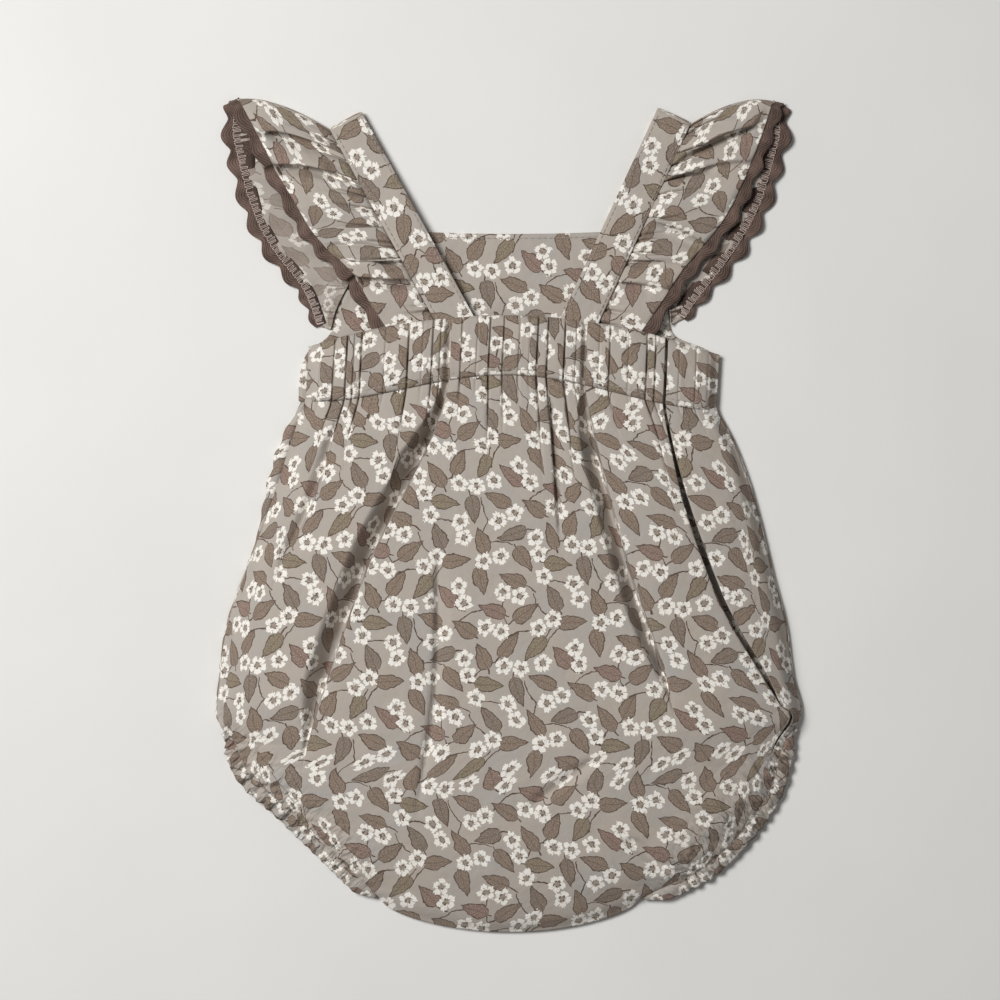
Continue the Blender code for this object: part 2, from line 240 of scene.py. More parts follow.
grid = bmesh.new()
bmesh.ops.create_grid(grid, x_segments=1, y_segments=1, size=FLOOR_SIZE / 2)
bmesh.ops.translate(grid, verts=grid.verts, vec=(0, 0, -FLOOR_DROP))
table_top = put_in_scene("table_top", finished_mesh("table_top", grid, [table_paint.material]))


def panel_light(name, place, size, power):
    panel = bpy.data.lights.new(name, "AREA")
    panel.shape, panel.size, panel.energy = "SQUARE", size, power
    light = put_in_scene(name, panel)
    light.location = place
    light.rotation_euler = (-Vector(place)).to_track_quat("-Z", "Y").to_euler()


panel_light("main_light", **MAIN_LIGHT)
panel_light("fill_light", **FILL_LIGHT)
sky = bpy.data.worlds.new("studio")
SCENE.world = sky
sky.use_nodes = True
sky.node_tree.nodes["Background"].inputs["Color"].default_value = SKY_COLOUR
sky.node_tree.nodes["Background"].inputs["Strength"].default_value = SKY_STRENGTH
print("lights:", MAIN_LIGHT["power"], "W and", FILL_LIGHT["power"], "W")

# %% [markdown]
# ## The print
# The cotton is printed with sprigs: five-petalled blossoms in twos and threes, pointed leaves and
# thin stems, over a warm grey. A printer works from a chart of one repeat, and so does this
# material. Each row of the chart is one motif: its place in the repeat and its turn. The repeat is
# square and lies askew on the cloth, so that no two motifs line up across the garment.

# %% The chart of one repeat
REPEAT = 64.0  # mm
REPEAT_TURN = 27.0  # degrees
Motif = namedtuple("Motif", "x y turn tint", defaults=(0,))
BLOSSOMS = (
    Motif(33.8, 45.8, 9), Motif(39.9, 40.4, 23), Motif(50.1, 54.6, 3), Motif(29.2, 19.5, 32),
    Motif(33.2, 26.6, 47), Motif(60.3, 40.7, 33), Motif(54.3, 35.2, 31), Motif(5.9, 26.7, 66),
    Motif(32.7, 64.0, 10), Motif(40.2, 6.8, 48), Motif(13.9, 28.7, 28), Motif(6.8, 8.5, 19),
    Motif(14.8, 10.4, 1), Motif(56.1, 14.2, 68), Motif(50.0, 19.5, 44), Motif(11.7, 49.9, 57),
    Motif(19.3, 41.8, 33), Motif(24.9, 61.4, 39), Motif(6.3, 55.9, 47), Motif(55.1, 61.2, 45),
)
BROWN, RED, OLIVE, GREY = range(4)
LEAVES = (
    Motif(6.9, 44.6, 334, BROWN), Motif(36.2, 53.1, 310, GREY), Motif(21.3, 7.0, 84, BROWN),
    Motif(46.8, 13.2, 161, RED), Motif(44.4, 63.1, 184, BROWN), Motif(42.7, 29.5, 31, BROWN),
    Motif(28.6, 35.5, 146, GREY), Motif(58.2, 26.2, 316, BROWN), Motif(13.1, 60.5, 145, BROWN),
    Motif(33.2, 10.5, 260, OLIVE), Motif(20.6, 23.9, 63, BROWN), Motif(5.5, 16.9, 187, RED),
    Motif(48.1, 43.2, 143, BROWN), Motif(59.3, 51.8, 225, GREY), Motif(6.9, 33.6, 185, BROWN),
    Motif(22.8, 50.3, 21, OLIVE), Motif(62.1, 3.6, 174, BROWN),
)
STEMS = (
    Motif(47, 49, 100), Motif(24, 14, 35), Motif(10.5, 21, 120), Motif(38, 20, 80),
    Motif(61, 9, 60), Motif(29, 43, 15), Motif(43, 55, 150), Motif(26, 29, 160),
    Motif(55, 45, 30), Motif(17, 55, 70),
)
BLOSSOM_RADIUS = 4.2
LEAF_HALF_LENGTH, LEAF_HALF_WIDTH = 7.2, 3.7
STEM_HALF_LENGTH, STEM_HALF_WIDTH = 8.0, 4.0
TINT_STEP = 0.01  # a motif's tint rides in its third coordinate, too small to change distances
print(len(BLOSSOMS), "blossoms,", len(LEAVES), "leaves and", len(STEMS), "stems in a repeat")


def nearest_motif(recipe, place, motifs, half_length, half_width):
    """The place as the nearest motif sees it: along it, across it, its tint, and how far off."""
    found = off = None
    for motif in motifs:
        high = (motif.x + REPEAT / 2, motif.y + REPEAT / 2, 1.0)
        low = (motif.x - REPEAT / 2, motif.y - REPEAT / 2, -1.0)
        window = recipe.vector("WRAP", place, high, low)
        own = recipe.node(
            "Mapping", window, (motif.x, motif.y, -motif.tint * TINT_STEP),
            (0.0, 0.0, math.radians(motif.turn)), (half_length, half_width, 1.0),
            vector_type="TEXTURE",
        ).outputs[0]
        far = recipe.number("VectorMath", own, operation="LENGTH", output=1)
        if found is None:
            found, off = own, far
            continue
        found = recipe.blend(far < off, found, own, "VECTOR")
        off = far.reckon("MINIMUM", off)
    return (*recipe.parts(found), off)


# %% [markdown]
# ## Leaves, stems and blossoms
# A leaf is drawn by one curve: how wide it is at each place between its base and its tip. Inside
# it come a darker edge, a midrib and slanting side veins, and behind its base a stalk that bends
# away. A blossom is drawn round its centre: its edge swells five times on the way round. All
# leaves share one drawing, placed by the chart, and so do all blossoms.

# %% The drawings
BASE_ROUND, TIP_POINT, LEAF_FULL = 0.55, 1.15, 0.9  # how blunt the base is, how sharp the tip
LEAF_EDGE, MIDRIB, STALK = 0.14, 0.05, 0.085  # widths, in shares of the leaf's half width
EDGE_INK, MIDRIB_INK, VEIN_INK, MOST_INK = 0.9, 0.6, 0.5, 0.9
VEIN_SLANT, VEIN_PITCH, VEIN_CREST = 0.45, 21.0, 0.93
STALK_MIDDLE, STALK_REACH = 0.36, 0.4  # behind the base, in shares of the leaf's half length
STEM_LINE, STEM_ARCH = 0.07, 0.5
PETALS = 5
PETAL_NOTCH, RAGGED = 0.42, 0.8  # how far the edge comes in between petals, and how it wobbles
RING_REACH, RING_SWELL, CENTRE_REACH, CENTRE_SWELL = 0.37, 0.14, 0.2, 0.1
STROKE_WIDTH, STROKE_START = 0.16, 0.36  # the lines between petals, and where they begin


def leaf_drawing(recipe, place):
    """(fill, lines, stalk, tint) of the leaves."""
    along, across, tint, _ = nearest_motif(
        recipe, place, LEAVES, LEAF_HALF_LENGTH, LEAF_HALF_WIDTH
    )
    side = abs(across)
    width = (along + 1.0) ** BASE_ROUND * (1.0 - along) ** TIP_POINT * LEAF_FULL
    fill = side < width
    edge = side > width - LEAF_EDGE
    midrib = side < MIDRIB
    veins = ((along - side * VEIN_SLANT) * VEIN_PITCH).reckon("COSINE") > VEIN_CREST
    tint = tint * (1 / TINT_STEP)
    bend = (tint * 1.7 + 1.0).reckon("COSINE")  # each tint bends its stalk its own way
    behind = along + 1.0
    near_base = abs(behind + STALK_MIDDLE) < STALK_REACH
    stalk = (abs(across - behind * behind * bend) < STALK) * near_base
    ink = edge * EDGE_INK + midrib * MIDRIB_INK + veins * VEIN_INK
    return fill, ink.reckon("MINIMUM", MOST_INK) * fill, stalk, tint


def stem_drawing(recipe, place):
    along, across, _, _ = nearest_motif(recipe, place, STEMS, STEM_HALF_LENGTH, STEM_HALF_WIDTH)
    arch = (1.0 - along * along) * STEM_ARCH - STEM_ARCH / 2
    return (abs(across - arch) < STEM_LINE) * (abs(along) < 1.0)


def blossom_drawing(recipe, place, rough):
    """(petals, the strokes on them, the ring round the centre, the centre) of the blossoms."""
    along, across, _, off = nearest_motif(
        recipe, place, BLOSSOMS, BLOSSOM_RADIUS, BLOSSOM_RADIUS
    )
    swell = abs((across.reckon("ARCTAN2", along) * (PETALS / 2)).reckon("COSINE"))
    off = off + (rough - 0.5) * RAGGED
    petals = off < swell ** 0.5 * PETAL_NOTCH + (1 - PETAL_NOTCH)
    strokes = (swell < STROKE_WIDTH) * (off > STROKE_START) + (rough > 0.63) * (off < 0.8)
    ring = (off < swell * RING_SWELL + RING_REACH) * (rough > 0.47)
    centre = off < swell * CENTRE_SWELL + CENTRE_REACH
    return petals, strokes.reckon("MINIMUM", 1.0) * petals, ring, centre


print("a leaf, mm:", 2 * LEAF_HALF_LENGTH, "long; a blossom, mm:", 2 * BLOSSOM_RADIUS, "across")

# %% [markdown]
# ## The cloth under the print
# The ground is not one flat colour: dye and light leave it slightly cooler in places, and the
# yarns show as a fine weave when one comes close. The wrong side of the same cloth shows the
# print through the yarns, pale and soft, and some pieces here lie with that side up. The wrong
# side's ground is painted a little darker than the right side's: painted shade where it lies low.

# %% Printed cotton, both sides
GROUND_WARM, GROUND_COOL = colour(179, 168, 156), colour(172, 167, 161)
LEAF_TINTS = (
    colour(152, 135, 120), colour(157, 134, 122), colour(152, 139, 119), colour(147, 133, 120),
)
LEAF_LINE = colour(88, 73, 62)
STEM_BROWN = colour(92, 76, 66)
PETAL_WHITE, PETAL_SHADE = colour(240, 235, 226), colour(192, 182, 171)
CENTRE_BROWN, CENTRE_LINE = colour(158, 146, 133), colour(112, 98, 86)
# the wrong side's ground, darker than the right side's: painted shade where that side lies low under
# other pieces
SHADED_REVERSE_GROUND = colour(168, 158, 149)
HAND_WOBBLE = 2.2  # mm, so that no two motifs are quite alike
# Waves per mm and octaves of each kind of unevenness.
WOBBLE, CLOUDS, BRUSH, SPECKLE, CREASES = (0.3, 2.0), (0.05, 2.0), (0.9, 2.0), (1.8, 1.0), (0.12, 3.0)
YARN = 0.34  # mm from one yarn to the next
YARN_RELIEF = 0.000012
CREASE_RELIEF = 0.0008
# Crumples along the leg openings: how high, from which line and over how many mm they grow towards
# the opening, where they end near the crotch, and their waves per mm along and across the opening.
CRUMPLE_RELIEF, CRUMPLE_FROM, CRUMPLE_OVER = 0.005, 220.0, 26.0
CRUMPLE_END, CRUMPLE_FADE = 115.0, 25.0
CRUMPLE_ALONG, CRUMPLE_ACROSS, CRUMPLE_NOISE = 0.2, 0.07, (1.0, 2.5)


def weave(recipe, place, yarn):
    """Height of a plain weave: yarns both ways, each over and under the next."""
    x, y = (part * (math.pi / yarn) for part in recipe.parts(place)[:2])
    return x.reckon("SINE") * y.reckon("SINE")


def leg_crumples(recipe):
    """Fine gathers that run inwards from both leg openings, whose edges lie along |x| - y."""
    x, y, _ = recipe.parts(recipe.vector("MULTIPLY", recipe.own_place(), IN_MM))
    x = abs(x)
    near = ((x - y - CRUMPLE_FROM) * (1 / CRUMPLE_OVER)).within_one()
    above = ((x + y + CRUMPLE_END) * (1 / CRUMPLE_FADE)).within_one()
    run = recipe.node("CombineXYZ", (x + y) * CRUMPLE_ALONG, (x - y) * CRUMPLE_ACROSS).outputs[0]
    return recipe.noise(run, *CRUMPLE_NOISE) * near * above


def leaf_colour(recipe, tint):
    """The colour of a leaf whose tint in the chart has that number."""
    step = 1 / len(LEAF_TINTS)
    colours = recipe.node("ValToRGB", tint * step + 0.1)
    ramp = colours.color_ramp
    ramp.interpolation = "CONSTANT"
    for k, shade in enumerate(LEAF_TINTS):
        stop = ramp.elements[k] if k < 2 else ramp.elements.new(k * step)
        stop.position, stop.color = k * step, shade
    return colours.outputs[0]


def printed_cotton(name, reverse=0.0):
    """The cotton's right side, or its wrong side under a share of a ground darkened as painted shade.
    """
    recipe = Recipe(name)
    cut = recipe.place_on_cut()
    turn = (0.0, 0.0, math.radians(REPEAT_TURN))
    place = recipe.node("Mapping", cut, None, turn, vector_type="POINT").outputs[0]
    wobble = recipe.node("TexNoise", cut, None, *WOBBLE).outputs["Color"]
    place = recipe.vector("MULTIPLY_ADD", wobble, (HAND_WOBBLE, HAND_WOBBLE, 0.0), place)
    leaf, leaf_lines, stalk, tint = leaf_drawing(recipe, place)
    petals, strokes, ring, centre = blossom_drawing(recipe, place, recipe.noise(cut, *BRUSH))
    stems = (stalk + stem_drawing(recipe, place)).reckon("MINIMUM", 1.0)
    dots = (recipe.noise(cut, *SPECKLE) > 0.50) * leaf * 0.5
    clouds = (recipe.noise(cut, *CLOUDS) - 0.35) * 2.4
    tone = recipe.blend(clouds, GROUND_WARM, GROUND_COOL)
    printed_in_turn = (
        (stems, STEM_BROWN), (leaf, leaf_colour(recipe, tint)),
        (leaf_lines.reckon("MAXIMUM", dots), LEAF_LINE), (petals, PETAL_WHITE),
        (strokes, PETAL_SHADE), (ring, CENTRE_LINE), (centre, CENTRE_BROWN),
    )
    for share, shade in printed_in_turn:
        tone = recipe.blend(share, tone, shade)
    if reverse:
        # the wrong side: its print softened under a ground that is darkened as painted shade
        tone = recipe.blend(reverse, tone, SHADED_REVERSE_GROUND)
    relief = recipe.relief(recipe.noise(cut, *CREASES), CREASE_RELIEF)
    relief = recipe.relief(leg_crumples(recipe), CRUMPLE_RELIEF, relief)
    relief = recipe.relief(weave(recipe, cut, YARN), YARN_RELIEF, relief)
    recipe.set(
        base_color=tone, roughness=0.85, specular_ior_level=0.25, normal=relief,
        sheen_weight=0.12, sheen_roughness=0.5,
    )
    return recipe.material


PRINT = printed_cotton("printed_cotton")
PRINT_REVERSE = printed_cotton("printed_cotton_wrong_side_shaded", reverse=0.45)
print("nodes in the print:", len(PRINT.node_tree.nodes))

# %% [markdown]
# ## Ric-rac and thread
# Ric-rac is a braid whose edges swing from side to side, and its yarns swing with them, so its
# fine lines follow the wave. Sewing thread is two plies twisted round each other.

# %% Braid, thread and the overlocked edge
BRAID_DARK, BRAID_LIGHT = colour(54, 41, 35), colour(138, 114, 102)
BOUND_DARK, BOUND_LIGHT = colour(56, 42, 36), colour(108, 88, 78)
THREAD_CREAM, THREAD_TAUPE = colour(218, 200, 189), colour(176, 166, 156)
BRAID_RELIEF, FIBRE_RELIEF = 0.00012, 0.00003
RICRAC_PITCH = 15.0
RICRAC_SWING = 2.6
BRAID_LINES, BRAID_DRIFT, BRAID_RIBS = 2.3, 0.25, 3.1  # radians per mm across, along, and of the ribs
# the second kind of unevenness is patches of painted light and shade, lighter and darker at random
# along the braid
FUZZ, LIGHT_AND_SHADE_PATCHES = (1.7, 3.0), (0.12, 2.0)  # waves per mm, octaves
FIBRES = (2600.0, 2.0)  # waves per metre, octaves


def braid(name, dark, light):
    """Woven braid whose lines swing from side to side like its edges."""
    recipe = Recipe(name)
    cut = recipe.place_on_cut()
    along, across, _ = recipe.parts(cut)
    swung = across + (along * (2 * math.pi / RICRAC_PITCH)).reckon("COSINE") * RICRAC_SWING
    fuzz, light_and_shade_patches = recipe.noise(cut, *FUZZ), recipe.noise(cut, *LIGHT_AND_SHADE_PATCHES)
    lines = abs((swung * BRAID_LINES + along * BRAID_DRIFT + fuzz * 1.6).reckon("SINE"))
    ribs = abs((along * BRAID_RIBS).reckon("SINE"))
    # the yarn lines and ribs are woven; the patches lighten and darken the braid as painted light and
    # shade
    tone = recipe.blend(lines * 0.42 + ribs * 0.08 + (light_and_shade_patches - 0.45) * 1.3, dark, light)
    relief = recipe.relief(lines + ribs * 0.5 + fuzz * 0.6, BRAID_RELIEF)
    recipe.set(
        base_color=tone, roughness=0.8, specular_ior_level=0.3, normal=relief,
        sheen_weight=0.25, sheen_roughness=0.4,
    )
    return recipe.material


def twisted_thread(name, shade):
    recipe = Recipe(name)
    fibres = recipe.noise(recipe.own_place(), *FIBRES)
    darker = (*(0.72 * part for part in shade[:3]), 1.0)
    recipe.set(
        base_color=recipe.blend(fibres, darker, shade), roughness=0.7,
        normal=recipe.relief(fibres, FIBRE_RELIEF), sheen_weight=0.2,
    )
    return recipe.material


BRAID = braid("ricrac_braid", BRAID_DARK, BRAID_LIGHT)
BOUND_EDGE = braid("overlocked_edge", BOUND_DARK, BOUND_LIGHT)
CREAM_THREAD = twisted_thread("overlock_thread", THREAD_CREAM)
TAUPE_THREAD = twisted_thread("topstitch_thread", THREAD_TAUPE)
print("trimmings:", [made.name for made in (BRAID, BOUND_EDGE, CREAM_THREAD, TAUPE_THREAD)])

# %% [markdown]
# ## Shapes from short tables
# A pattern cutter notes a few widths and heights and draws smooth curves through them. The same is
# done here: `through` runs a smooth curve through the rows of a table. All the helpers work on
# whole arrays at once, because one piece of cloth has thousands of corners.

# %% Curves and soft steps
def through(rows, share):
    """The row at each share from 0 to 1 along a smooth curve through evenly spaced rows."""
    rows, share = np.asarray(rows, float), np.atleast_1d(share)
    last = len(rows) - 1
    place = np.clip(share, 0.0, 1.0) * last
    first = np.minimum(place.astype(int), last - 1)
    t = (place - first)[:, None]
    a, b, c, d = (rows[np.clip(first + k, 0, last)] for k in (-1, 0, 1, 2))
    bend = (2 * a - 5 * b + 4 * c - d) * t * t + (3 * b - a - 3 * c + d) * t**3
    return 0.5 * (2 * b + (c - a) * t + bend)


def blend(low, high, share):
    return low + (high - low) * share


def ease(share):
    """A soft step from 0 to 1: ease(v * 4 - 1) starts at a quarter of v and ends at a half."""
    share = np.clip(share, 0.0, 1.0)
    return share * share * (3 - 2 * share)


def bell(distance, half_width):
    return np.exp(-((distance / half_width) ** 2))


def pillow(share, fullness=6):
    """0 at both ends and 1 over the middle, round at the shoulders."""
    return np.sqrt(np.maximum(0.0, 1 - np.abs(2 * share - 1) ** fullness))


print("a soft step at its quarters:", ease(np.linspace(0, 1, 5)).round(3))

# %% [markdown]
# ## How gathered cloth is measured
# Gathered cloth is wider than it looks. The side of a fold is a slope: from above one sees its run,
# and the rest of its length is hidden. `hidden_by` says how much, and `take_up` works out where
# each fold sits on the flat cut. So the print is squeezed at each fold, as on the real thing, and
# stays whole between them.

# %% Gathers and folds
def hidden_by(run, depth):
    return np.hypot(run, depth) - run


def take_up(shares, left, right, width):
    """Half the cut width, and each fold's place on the cut, for rows that show that width."""
    hidden = left + right
    order = np.sign(shares[:, None] - shares[None])
    before = (order * hidden[None]).sum(axis=1) / 2
    return (width + hidden.sum(axis=0)) / 2, (shares - 0.5) * width + before + (left - right) / 2


print("a slope 3 mm wide and 4 mm deep hides, mm:", hidden_by(3.0, 4.0))

# %% [markdown]
# ## From a flat grid to a piece of cloth
# A piece starts as `bmesh`'s flat grid. Each corner is put in its place, and its place on the flat
# cut is kept as the UV map, which the print reads. A Solidify modifier then gives the sheet its
# thickness, with the wrong side of the print on the inner face.

# %% One maker for all the sheets
CLOTH_WALL = 0.45 * MM
PIECES = {}


def cloth_piece(
    name, cells, shape, turn_over=False, wall=CLOTH_WALL, finish=(PRINT, PRINT_REVERSE), closed=False
):
    """shape(u, v) gives places and cut places in mm. turn_over swaps the right and wrong sides."""
    grid = bmesh.new()
    bmesh.ops.create_grid(grid, x_segments=cells[0], y_segments=cells[1], size=0.5)
    flat = np.array([corner.co[:2] for corner in grid.verts]) + 0.5
    places, cut = shape(flat[:, 0], flat[:, 1])
    for corner, place in zip(grid.verts, (places * MM).tolist()):
        corner.co = place
    layer = grid.loops.layers.uv.new("cut")
    cut = (cut * MM).tolist()
    for face in grid.faces:
        for loop in face.loops:
            loop[layer].uv = cut[loop.vert.index]
    if closed:
        bmesh.ops.remove_doubles(grid, verts=grid.verts, dist=0.01 * MM)
    if turn_over:
        bmesh.ops.reverse_faces(grid, faces=grid.faces)
    if closed:
        bmesh.ops.recalc_face_normals(grid, faces=grid.faces)
    piece = put_in_scene(name, finished_mesh(name, grid, finish))
    PIECES[name] = piece
    thick = piece.modifiers.new("wall", "SOLIDIFY")
    thick.thickness, thick.offset = wall, -1.0
    thick.material_offset = thick.material_offset_rim = len(finish) - 1
    print(f"{name}: {len(piece.data.polygons)} cells")


# Where each part is cut from the printed bolt, in mm, so that no two show the same sprigs.
CUT_FROM = {
    "waistband": (0, 90), "bodice": (37, 11), "casing": (0, 150), "strap": (250, 0),
    "ruffle": (420, 0), "strip": (0, 40),
}


def on_the_bolt(part, x, y):
    """Places on the printed bolt for places on a part's own cut, in mm."""
    return np.stack([x + CUT_FROM[part][0], y + CUT_FROM[part][1]], axis=1)


print("walls of the cloth, mm:", round(CLOTH_WALL / MM, 2))

# %% [markdown]
# ## The bubble body, in numbers
# The body is two panels that lie on each other. One table gives its outline from the waist seam
# down to the crotch fold, and how high the back panel stands. The other tables give the gathers of
# the back waist and the large folds, as they happen to lie.
# A section also says how its row bows in the middle and how far the front panel shows at the left.
# A fold has the depth of its trough and how wide its left slope, its open bottom and its right
# slope look from above: below 0 mm a slope overhangs. The rest are shares of its length, in which
# it starts, grows to its full depth and fades.

# %% Tables of the body
Section = namedtuple("Section", "left_x left_y right_x right_y middle_y bow rim crown shows")
BODY = (
    Section(-97.5, 54, 99, 50, 66.5, 2.0, 5.2, 6.3, 2.0),
    Section(-104, 36, 107, 35, 45, 1.3, 5.2, 9.5, 5.5),
    Section(-110, 17, 114, 17, 22, 1.0, 5.2, 12.0, 5.5),
    Section(-117, -3, 120, -4, -1, 1.0, 5.2, 14.0, 2.5),
    Section(-126, -27, 126, -29, -24, 1.0, 5.2, 15.5, -1.0),
    Section(-135, -53, 132, -52, -48, 1.0, 5.2, 16.5, -1.0),
    Section(-138.5, -78, 135.5, -77, -72, 1.0, 5.4, 17.0, -1.0),
    Section(-139.4, -98, 139.4, -95, -96, 1.0, 5.8, 16.5, -1.0),
    Section(-131, -109, 131, -109, -118, 1.2, 6.8, 15.0, 0.0),
    Section(-124, -124, 124.5, -131, -138, 1.5, 7.2, 13.0, 0.0),
    Section(-107.5, -139, 112, -150, -157, 1.8, 7.2, 11.0, 0.0),
    Section(-89.5, -156.5, 95.5, -166.5, -172, 1.9, 7.0, 8.5, 0.0),
    Section(-73.5, -172.0, 79, -175.5, -185, 1.9, 6.4, 5.5, 0.0),
    Section(-61.5, -183.5, 61.5, -183.5, -199.8, 0.55, 5.4, 1.0, 0.0),
)
Gather = namedtuple("Gather", "x depth run")
GATHERS = (
    Gather(-91, 0.7, 12), Gather(-84.5, 1.6, 20), Gather(-78.5, 1.9, 34), Gather(-75, 1.1, 14),
    Gather(-71.5, 1.7, 24), Gather(-60, 0.6, 10), Gather(-49, 1.6, 30), Gather(-42, 0.5, 9),
    Gather(-37.4, 1.3, 18), Gather(-33.5, 0.8, 14), Gather(-23.6, 1.1, 20), Gather(-16, 0.6, 10),
    Gather(-10.2, 1.5, 36), Gather(-3.6, 1.3, 24), Gather(4, 0.7, 12), Gather(9, 0.5, 9),
    Gather(12.6, 1.5, 40), Gather(17.4, 1.6, 56), Gather(25.5, 1.8, 40), Gather(31, 0.8, 14),
    Gather(42, 0.5, 8), Gather(46.9, 1.1, 20), Gather(56, 0.4, 8), Gather(64.5, 1.6, 40),
    Gather(68.6, 1.2, 20), Gather(80, 0.5, 10), Gather(88, 0.8, 14), Gather(94, 0.5, 10),
)
GATHER_DEPTH, GATHER_REACH = 1.5, 1.4  # times the depth and the run in the table
GATHER_RUN, GATHER_GAP = 0.5, 0.2  # mm that each side of a gather shows, and its open bottom
Fold = namedtuple(
    "Fold", "top middle bottom depth left gap right at_top full_by fade", defaults=(0.0, 0.15, 0.3)
)
FOLDS = (
    Fold((73.5, 53), (98.5, -36), (146, -125), 13.0, -0.8, 4.6, -0.5, 0.4, 0.4, 0.14),
    Fold((73.5, 53), (98.5, -36), (146, -125), 1.5, 30.0, 1.5, 14.0),
    Fold((35.5, 62), (54, -19), (79, -100), 9.0, 8.0, 0.5, 1.2, 0.35),
    Fold((-29, 64), (-71, -31), (-99, -126), 12.0, 11.0, 1.0, 1.6, 0.3),
    Fold((-34, -12), (-35, -82), (-45, -152), 3.0, 2.5, 0.0, 6.0),
    Fold((19, 60), (21, 28), (24, -14), 4.0, 2.0, 0.0, 3.0),
    Fold((-82, 48), (-95, 14), (-113, -38), 4.0, 5.0, 0.0, 2.0),
    Fold((40, -114), (24, -128), (8, -141), 2.4, 8.0, 0.0, 8.0),
    Fold((56, -152), (66, -163), (78, -172), 2.4, 6.0, 0.0, 6.0),
)
LONG_FOLDS = (3, 2, 0)  # rows of the table, from the left, that the grid follows
FOLD_TRIES = 12
SIDES_AT, SIDE_RUN, SIDE_DEPTH = (0.03, 0.97), 6.0, 8.5  # the rounded sides hide some cloth too
SHOULDER = 0.16  # share of a fold's depth that its soft shoulders add
SHOULDER_WIDTH, SHOULDER_SPREAD = 4.0, 0.5
LEG_FROM, LEG_TO = 0.573, 0.985
LEG_PUCKERS = 21
SAMPLE_ROWS = 120


def body_place(share, v):
    """x, y and section of the body, share across and v from the waist seam down."""
    section = Section(*through(BODY, v).T)
    x = blend(section.left_x, section.right_x, share)
    ends_y = blend(section.left_y, section.right_y, share)
    middle = section.middle_y - (section.left_y + section.right_y) / 2
    return x, ends_y + middle * np.maximum(np.sin(np.pi * share), 0.0) ** section.bow, section


def below_seam(v):
    return BODY[0].middle_y - Section(*through(BODY, v).T).middle_y


WAIST_SHOWN = BODY[0].right_x - BODY[0].left_x
print(len(GATHERS), "gathers and", len(FOLDS), "folds; the waist, mm:", WAIST_SHOWN)

# %% [markdown]
# ## Where each fold lies
# A gather keeps its place across the panel and fades as it runs down. A large fold wanders: it is
# followed row by row, and at each row the place where it crosses is found by trying again and
# again, since the rows are curved.

# %% Follow the folds down the panel
FoldRows = namedtuple("FoldRows", "v width half centre growth depth slope")


def gather_row(gather, v):
    """For each v: the gather's share across, its growth, its depth and its slopes' depth."""
    share = (gather.x - BODY[0].left_x) / WAIST_SHOWN
    depth = gather.depth * GATHER_DEPTH
    shallower = ease(below_seam(v) / (GATHER_REACH * gather.run))
    slacker = ease(below_seam(v) / (2 * gather.run + 30))
    return np.full_like(v, share), np.ones_like(v), depth * (1 - shallower), depth * (1 - slacker)


def fold_row(fold, v, section):
    """The same for a large fold, which wanders across the panel."""
    share = np.full_like(v, 0.5)
    for _ in range(FOLD_TRIES):
        _, y, _ = body_place(share, v)
        along = (y - fold.top[1]) / (fold.bottom[1] - fold.top[1])
        x = through((fold.top, fold.middle, fold.bottom), along)[:, 0]
        share = np.clip((x - section.left_x) / (section.right_x - section.left_x), 0.02, 0.98)
    grown = blend(fold.at_top, 1.0, ease(along / fold.full_by)) * ease((1 - along) / fold.fade)
    grown = np.maximum(grown, 0.001)
    return share, grown, fold.depth * grown, fold.depth * grown


def side_row(share, v):
    """The same for a rounded side, which takes up cloth but leaves no trough."""
    slope = SIDE_DEPTH * ease(v * 5) * ease((1 - v) * 6)
    return np.full_like(v, share), np.ones_like(v), np.zeros_like(v), slope


def fold_rows():
    """Every fold in sample rows down the panel, and half of the cut's width in each row."""
    v = np.linspace(0.0, 1.0, SAMPLE_ROWS)
    _, _, section = body_place(np.full_like(v, 0.5), v)
    width = section.right_x - section.left_x
    rows = [gather_row(gather, v) for gather in GATHERS]
    rows += [fold_row(fold, v, section) for fold in FOLDS]
    rows += [side_row(share, v) for share in SIDES_AT]
    share, growth, depth, slope = (np.array(column) for column in zip(*rows))
    left, right = (hidden_by(SLOPES[:, k, None] * growth, slope) for k in (0, 2))
    half, centre = take_up(share, left, right, width)
    return FoldRows(v, width, half, centre, growth, depth, slope)


SLOPES = np.array(
    [(GATHER_RUN, GATHER_GAP, GATHER_RUN)] * len(GATHERS)
    + [(fold.left, fold.gap, fold.right) for fold in FOLDS]
    + [(SIDE_RUN, 0.0, SIDE_RUN)] * len(SIDES_AT)
)
ROWS = fold_rows()
print("cut width at the waist, mm:", round(2 * ROWS.half[0]))
print("cut width at the hips, mm:", round(2 * ROWS.half[SAMPLE_ROWS // 2]))


def at_rows(values, v):
    return np.interp(v, ROWS.v, values)


def panel_across(cut, v):
    """(share across the panel, how far the folds let the cloth down) for places on the cut."""
    place, sink = cut.copy(), np.zeros_like(cut)
    for k, row in enumerate(SLOPES):
        left, gap, right = row[:, None] * at_rows(ROWS.growth[k], v)
        away = cut - at_rows(ROWS.centre[k], v)
        slope, depth = at_rows(ROWS.slope[k], v), at_rows(ROWS.depth[k], v)
        for run, side in ((left, -1), (right, 1)):
            up = np.clip((away * side - gap / 2) / np.hypot(run, slope), 0.0, 1.0)
            place -= side * hidden_by(run, slope) * (up - 0.5)
            sink -= depth * ease(up)
        soft = bell(away, SHOULDER_WIDTH + SHOULDER_SPREAD * slope)
        sink += depth * (1 + SHOULDER * soft)
    return np.clip(0.5 + place / at_rows(ROWS.width, v), 0.0, 1.0), sink


# %% [markdown]
# ## A grid that follows the long folds
# A steep fold that crosses the grid askew would come out jagged. So the columns of the grid run
# along the three long folds and crowd together there, and spread out in between.

# %% Columns along the folds
FOLD_REACH, SIDE_MARGIN = 12.5, 3.0
COLUMN_KNOTS = (0.0, 0.27, 0.365, 0.615, 0.71, 0.79, 0.89, 1.0)


